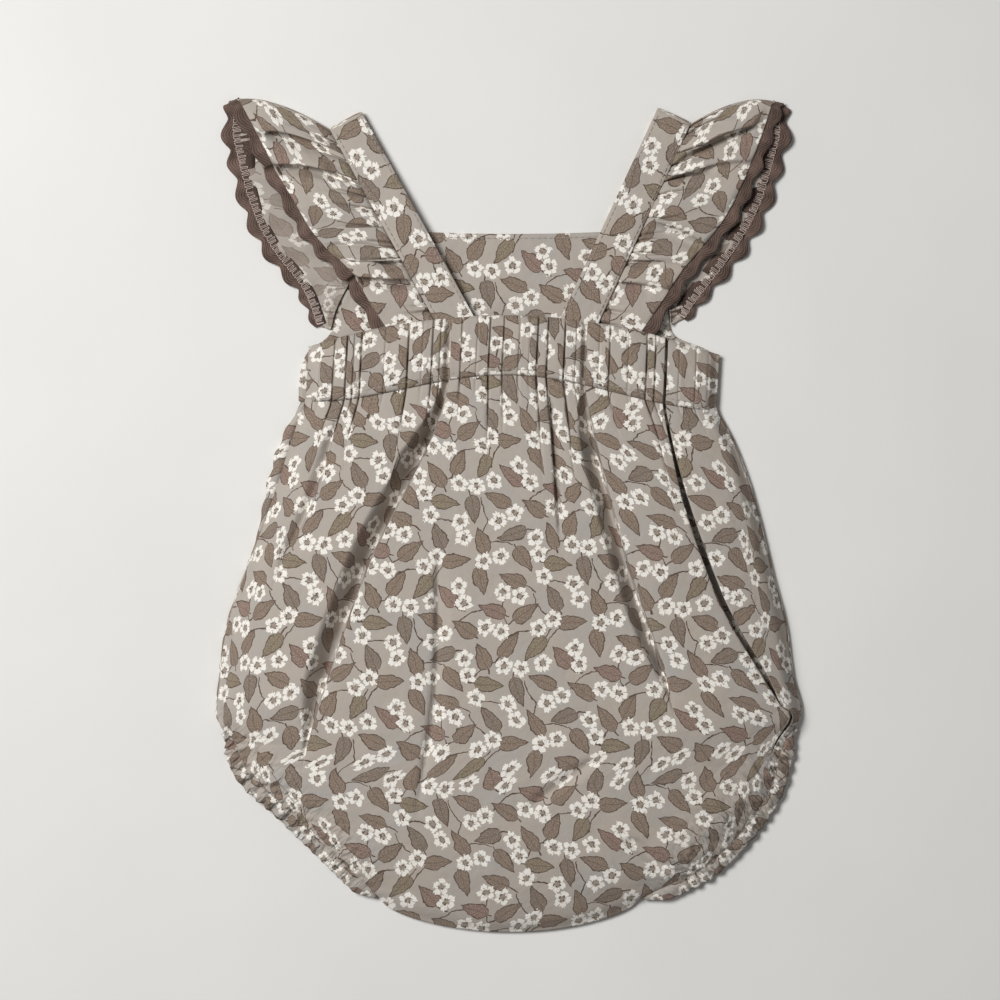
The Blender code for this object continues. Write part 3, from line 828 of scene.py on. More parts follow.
def cut_columns(u, v):
    """Places on the cut for a grid whose columns follow the three long folds."""
    half = at_rows(ROWS.half, v)
    inside = half - SIDE_MARGIN
    knots = [-half]
    for fold in LONG_FOLDS:
        centre = at_rows(ROWS.centre[len(GATHERS) + fold], v)
        knots += [np.clip(centre + reach, -inside, inside) for reach in (-FOLD_REACH, FOLD_REACH)]
    knots = np.maximum.accumulate([*knots, half])
    cut = knots[0].copy()
    for low, high, start, stop in zip(COLUMN_KNOTS, COLUMN_KNOTS[1:], knots, knots[1:]):
        cut += np.clip((u - low) / (high - low), 0.0, 1.0) * (stop - start)
    return cut


ends = cut_columns(np.array([0.0, 1.0]), np.array([0.5, 0.5]))
print("the cut half way down runs, mm:", ends.round(1))

# %% [markdown]
# ## The back panel
# The largest piece, and the one that shows. It stands up like a soft pillow between the side
# seams, dips at each gather and fold, puckers where the leg elastic pulls at it, and turns down
# to meet the front panel at the crotch.

# %% Back panel
BACK_CELLS = (372, 124)
ROWS_ON_THE_GRID, ROWS_ON_THE_PANEL = (0.0, 0.10, 0.38, 1.0), (0.0, 0.10, 0.573, 1.0)
BACK_FULLNESS = 4
SEAM_DIP, SEAM_DIP_REACH = 0.3, 2.0
PUCKER_DEPTH, PUCKER_REACH = 2.6, 9.0
LEG_SEAM_DIP, LEG_SEAM_REACH = 0.2, 1.4
LEG_SOFTNESS = 1.8  # the cloth rises more gently from the leg openings than from the sides
SIDE_SEAM_HEIGHT, SIDE_ROLL = 3.5, 3.2
CROTCH_HEIGHT, CROTCH_FROM = 2.6, 0.95
FOLD_FLOOR = (1.6, 4.4)  # the lowest place of a deep fold, and of everything else
UNDER_BAND = 2.2  # mm of the panel that lie under the waistband's lower edge
TUCK_DEPTH, TUCK_REACH = 0.4, 3.0
SHOWN_LIFT = 0.4  # mm that the side seam rises for each mm of front panel that shows
SHIFTS = {"left": 0.0, "right": 1.9}  # so that the two legs pucker differently


def lobes(run, shift):
    """Uneven bumps between the puckers of a leg casing, 1 on a lobe and -1 in a pucker."""
    calm = (1 - np.abs(2 * run - 1) ** 10) * (1 - 0.8 * ease(run * 5 - 3.6))
    phase = 2 * np.pi * LEG_PUCKERS * run + 1.5 * np.sin(9 * run + shift) + 0.6 * np.sin(31 * run)
    return np.cos(phase) * calm * (0.7 + 0.3 * np.sin(23 * run + 2 * shift))


def leg_puckers(share, v, width):
    """How far the puckers along both leg casings let the cloth down."""
    run = np.clip((v - LEG_FROM) / (LEG_TO - LEG_FROM), 0, 1)
    inside = ease(run * 12) * ease((1 - run) * 14)
    sink = np.zeros_like(v)
    for edge, side in ((share, "left"), (1 - share, "right")):
        reach = PUCKER_REACH * (1 + 0.6 * np.sin(37 * run + SHIFTS[side]))
        trough = (0.5 - 0.5 * lobes(run + 0.0015 * edge * width, SHIFTS[side])) ** 2
        sink += PUCKER_DEPTH * trough * inside * np.exp(-edge * width / reach)
    return sink


def back_panel_shape(u, v):
    v = np.interp(v, ROWS_ON_THE_GRID, ROWS_ON_THE_PANEL)
    cut = cut_columns(u, v)
    share, sink = panel_across(cut, v)
    x, y, section = body_place(share, v)
    round_up = pillow(share, BACK_FULLNESS) ** blend(1.0, LEG_SOFTNESS, ease(v * 7 - 3.5))
    below = below_seam(v)
    width = at_rows(ROWS.width, v)
    full = section.rim + section.crown * round_up
    floor = np.clip(full - sink * round_up, *FOLD_FLOOR)
    sink = sink * round_up + SEAM_DIP * np.exp(-below / SEAM_DIP_REACH)
    edge = np.minimum(share, 1 - share) * width
    leg_seam = LEG_SEAM_DIP * bell(edge, LEG_SEAM_REACH) * (v > LEG_FROM)
    sink += leg_puckers(share, v, width) + leg_seam
    height = np.maximum(full - sink, floor)
    tucked = 1 - ease(below / TUCK_REACH)
    height -= TUCK_DEPTH * tucked
    side_seam = SIDE_SEAM_HEIGHT + SHOWN_LIFT * section.shows * (share < 0.5)
    height = blend(height, side_seam, bell(edge, SIDE_ROLL) * (1 - ease(v * 14 - 7.2)))
    height = blend(height, CROTCH_HEIGHT, ease((v - CROTCH_FROM) / (1 - CROTCH_FROM)) ** 2)
    return np.stack([x, y + UNDER_BAND * tucked, height], axis=1), np.stack([cut, y], axis=1)


cloth_piece("back_panel_cloth", BACK_CELLS, back_panel_shape, turn_over=True)

# %% [markdown]
# ## The front panel
# It lies face down on the table under the back panel. At each side seam its cloth comes up round
# the side to meet the back panel, and at the left it bulges out far enough to show from above.

# %% Front panel
FRONT_CELLS = (110, 90)
FRONT_TURN = 0.045  # share of the cloth in the turn at each side
FRONT_ROLL = 0.9
FRONT_WAVE = 0.15  # share by which its rolls swell and shrink down the side
FRONT_CROTCH, FRONT_CROTCH_FROM = 1.4, 0.96
FRONT_CUT_WIDTH = 260.0


def front_panel_shape(u, v):
    at_side = 1 - ease(v * 8 - 4.2)
    flat = np.clip((u - FRONT_TURN) / (1 - 2 * FRONT_TURN), 0, 1)
    x, y, section = body_place(blend(u, flat, at_side), v)
    lift = FRONT_CROTCH * ease((v - FRONT_CROTCH_FROM) / (1 - FRONT_CROTCH_FROM))
    bulges = np.maximum(section.shows, FRONT_ROLL) * (1 + FRONT_WAVE * np.sin(y * 0.5))
    for inward, way, reach, shows in ((u, -1, bulges, section.shows), (1 - u, 1, FRONT_ROLL, 0.0)):
        angle = np.pi * np.clip(1 - inward / FRONT_TURN, 0, 1)
        seam_height = SIDE_SEAM_HEIGHT + SHOWN_LIFT * shows - CLOTH_WALL / MM
        x = x + way * reach * at_side * np.sin(angle)
        lift = lift + seam_height * at_side * (1 - np.cos(angle)) / 2
    cut = np.stack([-section.left_x - u * FRONT_CUT_WIDTH, y], axis=1)
    return np.stack([x, y, lift], axis=1), cut


cloth_piece("front_panel_cloth", FRONT_CELLS, front_panel_shape, finish=(PRINT,))

# %% [markdown]
# ## The back waistband
# A wide elastic runs inside a casing of the same print. It draws the casing up into upright
# puckers that run on into the panel below. Lengthwise the casing is a flattened tube: it rises
# from the seam, rolls over the top edge and comes back a little way underneath.

# %% Waistband
BAND_TOP_LEFT, BAND_TOP_RIGHT = (-96, 80.5), (100.5, 76.5)
BAND_TOP_RISE, BAND_END_HEIGHT, BAND_CROWN = 16.8, 4.8, 7.2
BAND_CELLS = (500, 30)
BAND_WIDTH, BAND_HEIGHT = 197.0, 28.0
BAND_CUT_HEIGHT = 34.0
BAND_PUFF = 1.6
BAND_TILT = 3.0  # mm that the top edge lies lower than the middle
BAND_ROLL = 0.86  # share of the way up at which the top edge starts to roll over
BAND_PUCKER = 0.85
BAND_WAVE = 0.12
BAND_ROLL_RADIUS = 2.2


def band_shape(u, v):
    at_seam = np.zeros_like(u)
    cut = (2 * u - 1) * ROWS.half[0]
    share, sink = panel_across(cut, at_seam)
    low_x, low_y, _ = body_place(share, at_seam)
    top_x = blend(BAND_TOP_LEFT[0], BAND_TOP_RIGHT[0], share)
    top_y = blend(BAND_TOP_LEFT[1], BAND_TOP_RIGHT[1], share)
    top_y += BAND_TOP_RISE * 4 * share * (1 - share)
    rise = np.minimum(v / BAND_ROLL, 1.0)
    roll = np.clip((v - BAND_ROLL) / (1 - BAND_ROLL), 0.0, 1.0) * math.pi
    puff = BAND_PUFF * np.sin(np.pi * np.clip(rise, 0, 1)) ** 0.6
    wave = BAND_WAVE * np.sin(cut * 0.7) * np.sin(np.pi * rise) - BAND_TILT * rise**2
    sink = sink * pillow(share) * BAND_PUCKER * (0.8 + 0.2 * np.sin(np.pi * rise))
    height = BAND_END_HEIGHT + BAND_CROWN * pillow(share) + puff - sink + wave
    height -= SEAM_DIP * np.exp(-rise * BAND_HEIGHT / SEAM_DIP_REACH)
    height -= BAND_ROLL_RADIUS * (1 - np.cos(roll))
    end = bell(np.minimum(share, 1 - share) * BAND_WIDTH, SIDE_ROLL)
    height = blend(height, SIDE_SEAM_HEIGHT, end)
    inset = BAND_ROLL_RADIUS / BAND_HEIGHT
    reach = rise * (1 - inset) + inset * np.sin(roll)
    x, y = blend(low_x, top_x, reach), blend(low_y, top_y, reach)
    return np.stack([x, y, height], axis=1), on_the_bolt("waistband", cut, v * BAND_CUT_HEIGHT)


cloth_piece("waistband_casing", BAND_CELLS, band_shape)

# %% [markdown]
# ## The front bodice
# A plain lined piece without gathers, lying flat on the table, seen from its inside between the
# straps. Its neckline and armholes are turned and pressed, so the edge is a little thicker.

# %% Bodice
Level = namedtuple("Level", "y left_x right_x")
BODICE = (
    Level(136.4, -59.8, 63.4),
    Level(124, -66.5, 67.5),
    Level(110, -76.5, 72.5),
    Level(98, -82.5, 76),
    Level(86, -86.5, 79),
    Level(78, -96.5, 96),
    Level(66, -100.5, 99.5),
    Level(52, -101, 99.0),
)
NECK_DIP = 1.8
BODICE_CELLS = (96, 60)
BODICE_WIDTH, BODICE_HEIGHT = 170.0, 84.0
BODICE_LIES, HEM_RISE, HEM_WIDTH = 1.2, 0.45, 2.2
HEM_GROOVE, HEM_GROOVE_IN = 0.3, 4.0
BODICE_WAVE = 0.25
SEAM_OVERLAP = 0.4


def bodice_shape(u, v):
    level = Level(*through(BODICE, v).T)
    _, seam_y, _ = body_place(u, np.zeros_like(u))
    y = level.y - NECK_DIP * np.sin(np.pi * u) * (1 - ease(v * 3))
    y += (seam_y + SEAM_OVERLAP - BODICE[-1].y) * ease(v * 3 - 2)
    x = blend(level.left_x, level.right_x, u)
    edge = np.minimum(v * BODICE_HEIGHT, np.minimum(u, 1 - u) * BODICE_WIDTH)
    height = BODICE_LIES + HEM_RISE * bell(edge, HEM_WIDTH)
    height -= HEM_GROOVE * bell(edge - HEM_GROOVE_IN, 1.2)
    height += BODICE_WAVE * np.sin(x * 0.13 + 1) * np.sin(y * 0.11) - 0.5 * bell(edge, 0.5)
    return np.stack([x, y, height], axis=1), on_the_bolt("bodice", x, y)


cloth_piece("front_bodice_cloth", BODICE_CELLS, bodice_shape, True, 0.7 * MM, (PRINT,))

# %% [markdown]
# ## The leg casings
# Each leg opening ends in a narrow casing with elastic inside: a ring, pressed flat, whose upper
# and lower runs lie over each other. The elastic crumples it into small lobes.

# %% Leg casings
CASING_WIDTH, CASING_END_WIDTH = 6.8, 0.35
CASING_OUTER_HEIGHT, CASING_UNDER_INNER, CASING_UNDER_OUTER = 4.3, 0.9, 2.2
CASING_CELLS = (300, 8)
CASING_CUT_LENGTH, CASING_CUT_WIDTH = 300.0, 9.0
CASING_PUFF, CASING_LOWEST = 0.9, 0.55
LOBE_SWELL = {"left": 0.6, "right": 0.3}
OUTWARD = {"left": 1, "right": -1}  # which way from a line down that side the outside lies
CASING_TUCK = 0.8  # mm of the casing under the panel's edge


def body_side(side, v):
    """The back panel's end on one side, the direction out of the panel there, and its rim."""
    end = np.zeros_like(v) if side == "left" else np.ones_like(v)
    x, y, section = body_place(end, v)
    before, after = (body_place(end, np.clip(v + step, 0, 1))[:2] for step in (-0.01, 0.01))
    along = np.stack([after[0] - before[0], after[1] - before[1]], axis=1)
    along /= np.linalg.norm(along, axis=1)[:, None]
    out = np.stack([along[:, 1], -along[:, 0]], axis=1) * OUTWARD[side]
    return np.stack([x, y], axis=1), out, section.rim


def casing_shape(side):
    def shape(u, v):
        run = 1 - np.abs(2 * u - 1)
        place, out, rim = body_side(side, blend(LEG_FROM, LEG_TO, run))
        lobe = lobes(run, SHIFTS[side])
        ends = np.minimum(ease(run * 7), ease((1 - run) * 9))
        swell = LOBE_SWELL[side] * lobe * (1 + 0.6 * np.sin(17 * run + SHIFTS[side]))
        width = CASING_WIDTH * blend(CASING_END_WIDTH, 1.0, ends) + swell * ends
        place = place + out * (v * (width + CASING_TUCK) - CASING_TUCK)[:, None]
        puff = np.sin(np.pi * np.clip(v, 0, 1)) ** 2 * CASING_PUFF
        trough = (0.5 - 0.5 * lobe) ** 2
        out_of_seam = ease(v * width / CASING_TUCK)
        upper = blend(rim - 0.6 + 0.5 * out_of_seam, CASING_OUTER_HEIGHT, v) + puff
        upper -= PUCKER_DEPTH * trough * (1 - 0.4 * v)
        under = blend(CASING_UNDER_INNER, CASING_UNDER_OUTER, v) - 0.4 * lobe
        over = 0.5 + 0.5 * np.tanh(12 * np.sin(2 * np.pi * u))
        height = blend(np.maximum(under, CASING_LOWEST), upper, over)
        cut = on_the_bolt("casing", u * CASING_CUT_LENGTH, v * CASING_CUT_WIDTH)
        return np.column_stack([place, height]), cut

    return shape


for side in SIDES:
    cloth_piece(f"leg_casing_{side}_cloth", CASING_CELLS, casing_shape(side), closed=True)

# %% [markdown]
# ## The straps
# A strap is a tube of cloth, sewn, turned and pressed flat. It comes up from the front bodice,
# folds over at the shoulder and runs down to the back waist. One function gives the middle line of
# the band of cloth, and a flattened ring is carried along it.

# %% Straps
STRAP_FEET = {"left": (-22.3, 86.5), "right": (30.6, 86.5)}
STRAP_SHOULDERS = {"left": (-78.2, 188.5), "right": (78.8, 190.8)}
STRAP_WIDTH, STRAP_THICKNESS = 17.5, 1.7
STRAP_FOLD_RADIUS, STRAP_FOOT_HEIGHT, STRAP_LOW = 1.6, 6.8, 1.0
STRAP_FOLD_FROM, STRAP_FOLD_TO = 0.36, 0.54
STRAP_SQUARE, STRAP_FLAT = 0.35, 0.8  # powers that press the round tube flat
STRAP_PUCKER, STRAP_PUCKER_REACH = 0.2, 3.0
STRAP_ABOVE_NECK = 0.4
STRAP_CUT_LENGTH = 215.0
STRAP_CELLS = (150, 28)
STRAP_WALL = 0.35 * MM


def strap_line(side):
    """The strap's foot, its direction towards the shoulder and its length."""
    foot, shoulder = np.array(STRAP_FEET[side]), np.array(STRAP_SHOULDERS[side])
    length = np.linalg.norm(shoulder - foot)
    return foot, (shoulder - foot) / length, length


def strap_middle(side, u, across):
    """Places on the middle of the strap's thickness, and the direction its face looks in."""
    foot, up, length = strap_line(side)
    sideways = np.array([-up[1], up[0]])
    turn = length - STRAP_FOLD_RADIUS
    start = (BODICE[0].y + STRAP_ABOVE_NECK - foot[1] - across * sideways[1]) / up[1]
    rise = np.clip(u / STRAP_FOLD_FROM, 0, 1)
    down = np.clip((u - STRAP_FOLD_TO) / (1 - STRAP_FOLD_TO), 0, 1)
    angle = np.pi * (np.clip((u - STRAP_FOLD_FROM) / (STRAP_FOLD_TO - STRAP_FOLD_FROM), 0, 1) - 0.5)
    reach = np.where(down > 0, blend(turn, 0.0, down), blend(start, turn, rise))
    reach = reach + STRAP_FOLD_RADIUS * np.cos(angle)
    lying = blend(STRAP_LOW + 2 * STRAP_FOLD_RADIUS, STRAP_FOOT_HEIGHT, ease(down * 1.4))
    height = np.where(down > 0, lying, STRAP_LOW + STRAP_FOLD_RADIUS * (1 + np.sin(angle)))
    plan = foot + across[:, None] * sideways + reach[:, None] * up
    facing = np.column_stack([np.cos(angle)[:, None] * up, np.sin(angle)])
    return np.column_stack([plan, height]), facing


def pressed(swing, power):
    """A sine or cosine whose curve is pressed towards a square."""
    return np.sign(swing) * np.abs(swing) ** power


def strap_shape(side):
    def shape(u, v):
        angle = 2 * np.pi * v
        across = pressed(np.cos(angle), STRAP_SQUARE) * STRAP_WIDTH / 2
        through_it = pressed(np.sin(angle), STRAP_FLAT) * STRAP_THICKNESS / 2
        near_seam = bell(across * OUTWARD[side] - STRAP_WIDTH / 2, STRAP_PUCKER_REACH)
        through_it = through_it * (1 - STRAP_PUCKER * near_seam * (1 + np.sin(u * 150)))
        middle, facing = strap_middle(side, u, across)
        place = middle + facing * through_it[:, None]
        around = np.where(v < 0.5, across, STRAP_WIDTH - across)
        return place, on_the_bolt("strap", around, u * STRAP_CUT_LENGTH)

    return shape


for side in SIDES:
    name = f"strap_{side}_cloth"
    cloth_piece(name, STRAP_CELLS, strap_shape(side), wall=STRAP_WALL, closed=True)

# %% [markdown]
# ## The ruffles, in numbers
# A ruffle is a long strip, widest over the shoulder, gathered into the strap's outer seam. Its
# back half lies on top with the printed side up. At the shoulder it turns over with the strap, and
# the front half lies on the table with its wrong side up. The tables give its edge and its folds.

# %% Tables of the ruffles
Frill = namedtuple("Frill", "seam_y edge_x edge_y")
RUFFLE_BACK = {
    "left": (
        Frill(90.0, -56, 85.0), Frill(104, -67, 102), Frill(117, -75.5, 116.5),
        Frill(126, -86, 126), Frill(137, -95, 136.5), Frill(148, -103, 150),
        Frill(160, -112, 165.5), Frill(173, -120, 181), Frill(182.3, -128.5, 197.2),
    ),
    "right": (
        Frill(90.0, 62, 86.0), Frill(105, 73, 102), Frill(118, 82, 116),
        Frill(129, 92, 128), Frill(142, 103.5, 143), Frill(155, 110.5, 156.5),
        Frill(167, 116.5, 170.5), Frill(178, 121.5, 184), Frill(185, 125.5, 196),
    ),
}
RUFFLE_FRONT = {
    "left": (
        Frill(182.3, -131, 196.6), Frill(171, -129.5, 182), Frill(157.5, -126.5, 168),
        Frill(146.5, -122, 151.5), Frill(136, -116, 137), Frill(124, -108, 124.5),
        Frill(110, -98, 112), Frill(98, -92.5, 100.5), Frill(89, -89.5, 91),
    ),
    "right": (
        Frill(185, 128.5, 195), Frill(174, 126.5, 181), Frill(160, 122.5, 166),
        Frill(146.5, 118, 151), Frill(136, 111.5, 138), Frill(124, 104, 126),
        Frill(110, 95, 114), Frill(98, 86.5, 103), Frill(91, 81.5, 95),
    ),
}
RUFFLE_BULGE, RUFFLE_FOLD_RADIUS, RUFFLE_LIFT, FRONT_HALF_HEIGHT = 6.0, 2.2, 6.2, 0.7
RUFFLE_FOLD_FROM, RUFFLE_FOLD_MIDDLE, RUFFLE_FOLD_TO = 0.47, 0.51, 0.55
BACK_HALF_LENGTH, FRONT_HALF_LENGTH = 120.0, 115.0
BACK_HALF_LOWEST, FRONT_HALF_LOWEST, GATHERS_LOWEST = 2.0, 0.6, 0.55
FRONT_WIDER = 2.0  # mm that the front half comes out under the ric-rac
FRILL_GAP = -0.8  # the ruffle's edge goes in under the strap's
# Creases and flutes run from the seam to the edge: where along its half each starts and ends, from
# which share of the width to which, how deep it is (below 0 it stands up), and how wide.
Ripple = namedtuple("Ripple", "at_seam at_edge start stop depth half_width")
RIPPLES_BACK = {
    "left": (
        Ripple(0.91, 0.94, 0.0, 1.0, -5.2, 6.5),
        Ripple(0.85, 0.88, 0.05, 0.85, 3.8, 2.1),
        Ripple(0.78, 0.80, 0.0, 0.3, 3.2, 1.8),
        Ripple(0.77, 0.80, 0.0, 1.0, -4.2, 4.0),
        Ripple(0.72, 0.75, 0.0, 1.0, 4.8, 1.9),
        Ripple(0.60, 0.62, 0.0, 1.0, -2.6, 11.0),
        Ripple(0.41, 0.40, 0.0, 0.95, 1.8, 1.7),
        Ripple(0.34, 0.36, 0.0, 0.9, -2.6, 5.0),
        Ripple(0.29, 0.31, 0.0, 0.45, 3.4, 1.9),
        Ripple(0.24, 0.26, 0.0, 1.0, -3.4, 4.5),
        Ripple(0.18, 0.22, 0.0, 1.0, 4.2, 1.8),
        Ripple(0.10, 0.12, 0.0, 1.0, -1.2, 6.0),
    ),
    "right": (
        Ripple(0.82, 0.96, 0.0, 0.9, -5.4, 6.5),
        Ripple(0.73, 0.90, 0.0, 0.82, 3.8, 2.0),
        Ripple(0.70, 0.77, 0.0, 1.0, -3.0, 4.0),
        Ripple(0.65, 0.72, 0.0, 0.55, 3.2, 1.9),
        Ripple(0.58, 0.60, 0.0, 1.0, -2.4, 10.0),
        Ripple(0.53, 0.43, 0.1, 1.0, -2.6, 4.6),
        Ripple(0.47, 0.37, 0.1, 1.0, 2.8, 2.0),
        Ripple(0.33, 0.34, 0.0, 1.0, -1.8, 5.5),
        Ripple(0.27, 0.29, 0.0, 0.6, 1.8, 1.9),
        Ripple(0.22, 0.21, 0.0, 1.0, -2.0, 4.0),
        Ripple(0.17, 0.16, 0.0, 0.7, 1.8, 1.9),
        Ripple(0.10, 0.10, 0.0, 1.0, -1.2, 6.0),
    ),
}
RIPPLES_FRONT = (
    Ripple(0.14, 0.14, 0.1, 1.0, -2.2, 6.0),
    Ripple(0.22, 0.22, 0.1, 1.0, 0.5, 3.0),
    Ripple(0.29, 0.29, 0.1, 1.0, -2.4, 6.0),
    Ripple(0.44, 0.44, 0.1, 1.0, -2.1, 5.5),
    Ripple(0.58, 0.58, 0.1, 1.0, -2.5, 6.0),
    Ripple(0.72, 0.72, 0.1, 1.0, -2.0, 5.5),
    Ripple(0.86, 0.86, 0.1, 1.0, -1.4, 5.0),
)
SEAM_GATHERS = 46
SEAM_GATHER_HIDES, SEAM_GATHER_DEPTH = 2.2, 2.8
FLUTE_LEAN = 1.1  # mm that a flute leans over the crease below it for each mm that it stands up
RIPPLE_END, RIPPLE_TAIL = 0.08, 1.9  # how softly a crease ends, and how slack its lower slope is
print("creases and flutes on top:", {side: len(RIPPLES_BACK[side]) for side in SIDES})

# %% [markdown]
# ## The ruffles, in shape
# The seam follows the strap, then the armhole of the bodice. The edge follows the table. A point
# between them is found from its share of the way along and its share of the way out, and the folds
# then move it up or down.

# %% Ruffle shape
ARMHOLE_V = np.linspace(0, 1, 400)
ARMHOLE = Level(*through(BODICE, ARMHOLE_V).T)


def seam_place(side, y, half):
    """Places on the seam that holds the ruffle: the strap's side, then the bodice's armhole."""
    foot, up, _ = strap_line(side)
    out = np.array([-up[1], up[0]]) * OUTWARD[side]
    start = foot + out * (STRAP_WIDTH / 2 + FRILL_GAP)
    on_strap = start + up * ((y - start[1]) / up[1])[:, None]
    if half == "back":
        return on_strap
    edge_x = (ARMHOLE.left_x if side == "left" else ARMHOLE.right_x) - SEAM_OVERLAP * OUTWARD[side]
    on_bodice = np.stack([np.interp(y, ARMHOLE.y[::-1], edge_x[::-1]), y], axis=1)
    return np.where((y > BODICE[0].y)[:, None], on_strap, on_bodice)


def ruffle_half(side, half, along, v, beyond):
    """Places on one half of a ruffle in plan, beyond mm past its edge."""
    rows = (RUFFLE_BACK if half == "back" else RUFFLE_FRONT)[side]
    row = through(rows, along)
    seam, edge = seam_place(side, row[:, 0], half), row[:, 1:]
    run = through(rows, along + 0.01)[:, 1:] - through(rows, along - 0.01)[:, 1:]
    out = np.stack([-run[:, 1], run[:, 0]], axis=1)
    out /= np.linalg.norm(out, axis=1)[:, None]
    out *= np.sign((out * (edge - seam)).sum(axis=1))[:, None]
    nearness = ease(along if half == "back" else 1 - along)
    wider = 0.0 if half == "back" else FRONT_WIDER * v * ease(along * 8)
    bulge = strap_line(side)[1] * (RUFFLE_BULGE * nearness**2 * 4 * v * (1 - v))[:, None]
    return seam + (edge - seam) * v[:, None] + bulge + out * (beyond + wider)[:, None]


def ripples(table, along, v, length):
    """How far the creases of one half let it down, along in shares of that half."""
    sink = np.zeros_like(along)
    for ripple in table:
        away = (along - blend(ripple.at_seam, ripple.at_edge, v)) * length
        begun = ease((v - ripple.start + RIPPLE_END) / (2 * RIPPLE_END))
        here = begun * ease((ripple.stop - v + RIPPLE_END) / (2 * RIPPLE_END))
        wide = np.where((away < 0) & (ripple.depth > 0), RIPPLE_TAIL, 1.0) * ripple.half_width
        sink += ripple.depth * here * bell(away, wide)
    return sink


def ruffle_place(side, u, v, beyond_back=0.0, beyond_front=0.0):
    """Places on a ruffle: u from the waist up, over the shoulder and down the front."""
    _, up, _ = strap_line(side)
    beyond_back, beyond_front = (np.broadcast_to(b, u.shape) for b in (beyond_back, beyond_front))
    radius = blend(STRAP_FOLD_RADIUS, RUFFLE_FOLD_RADIUS, v)
    low = FRONT_HALF_HEIGHT
    back_along = np.clip(u / RUFFLE_FOLD_FROM, 0, 1)
    front_along = np.clip((u - RUFFLE_FOLD_TO) / (1 - RUFFLE_FOLD_TO), 0, 1)
    turn = np.clip((u - RUFFLE_FOLD_FROM) / (RUFFLE_FOLD_TO - RUFFLE_FOLD_FROM), 0, 1)
    back = ruffle_half(side, "back", back_along, v, beyond_back)
    front = ruffle_half(side, "front", front_along, v, beyond_front)
    angle = np.pi * (0.5 - turn)
    plan = blend(back, front, turn[:, None]) + up * (radius * np.cos(angle))[:, None]
    rest = blend(STRAP_FOOT_HEIGHT, RUFFLE_LIFT, v)
    rest = blend(rest, low + 2 * radius, ease(back_along * 3 - 2))
    calm = 1 - ease(back_along * 9 - 8)
    sink = ripples(RIPPLES_BACK[side], back_along, v, BACK_HALF_LENGTH)
    sink = sink * blend(0.4, 1.0, ease(v * 2.5)) * calm
    plan = plan - up * (FLUTE_LEAN * np.maximum(-sink, 0.0) * (u < RUFFLE_FOLD_FROM))[:, None]
    upper = np.maximum(rest - sink, BACK_HALF_LOWEST)
    lower = ripples(RIPPLES_FRONT, front_along, v, FRONT_HALF_LENGTH) * v * ease(front_along * 12)
    lower = np.maximum(low - lower, FRONT_HALF_LOWEST)
    folded = low + radius + radius * np.sin(angle)
    height = np.select([u < RUFFLE_FOLD_FROM, u > RUFFLE_FOLD_TO], [upper, lower], folded)
    return np.column_stack([plan, height])


shoulder = ruffle_place("left", np.array([RUFFLE_FOLD_MIDDLE]), np.array([1.0]))[0]
print("the left ruffle turns over at its edge at, mm:", shoulder.round(1))

# %% [markdown]
# ## The ruffles, in cloth
# Along the seam the strip is gathered into many small puckers, which fade within a few
# centimetres. The strip's cut length is what the edge needs, so the puckers hide the rest.

# %% Ruffles
RUFFLE_CELLS = (560, 50)
RUFFLE_CUT_LENGTH, RUFFLE_CUT_WIDTH = 285.0, 46.0
GATHER_SLOPE, GATHER_TROUGH = 1.6, 1.1  # half widths in mm, on the cut
SEAM_GROOVE = ((0.7, 0.07), (1.9, 0.035))  # depth in mm and share of the width: soft, then sharp
FRONT_SINK = 0.6  # on the front half the same puckers show from behind, and shallower
counted = np.arange(SEAM_GATHERS)
gather_share = (counted + 0.5 + 0.35 * np.sin(2.7 * counted)) / SEAM_GATHERS
gather_size = 1 + 0.35 * np.sin(1.9 * counted + 1)


def ruffle_shape(side):
    def shape(u, v):
        cut = (u - 0.5) * RUFFLE_CUT_LENGTH
        fade = (1 - ease(v * 1.6)) * ease(u * 14) * ease((1 - u) * 14)
        place, sink = cut.copy(), np.zeros_like(cut)
        for share, size in zip(gather_share, gather_size):
            away = cut - (share - 0.5) * RUFFLE_CUT_LENGTH
            place -= 0.5 * SEAM_GATHER_HIDES * size * fade * np.tanh(away / GATHER_SLOPE)
            long = 0.35 + 0.3 * size
            sink += SEAM_GATHER_DEPTH * size * bell(away, GATHER_TROUGH) * (1 - ease(v / long))
        reach = 0.5 * (RUFFLE_CUT_LENGTH - SEAM_GATHER_HIDES * fade * gather_size.sum())
        along = np.clip(0.5 + 0.5 * place / np.maximum(reach, 1.0), 0, 1)
        places = ruffle_place(side, along, v)
        upper = along < RUFFLE_FOLD_FROM
        calm = 1 - bell(along - RUFFLE_FOLD_MIDDLE, 0.05)
        sink += sum(depth * bell(v, width) for depth, width in SEAM_GROOVE)
        places[:, 2] -= np.where(upper, sink, -FRONT_SINK * sink) * calm
        places[:, 2] = np.maximum(places[:, 2], GATHERS_LOWEST)
        wide = RUFFLE_CUT_WIDTH * np.sin(np.pi * (0.08 + 0.84 * u)) ** 0.7
        return places, on_the_bolt("ruffle", cut, v * wide)

    return shape


for side in SIDES:
    cloth_piece(f"ruffle_{side}_cloth", RUFFLE_CELLS, ruffle_shape(side), side == "right")

# %% [markdown]
# ## The ric-rac
# The braid is sewn between the ruffle's edge and its turning, so only one row of its scallops
# shows: round lobes with a sharp notch between. Each lobe is slightly domed and no two lie alike.

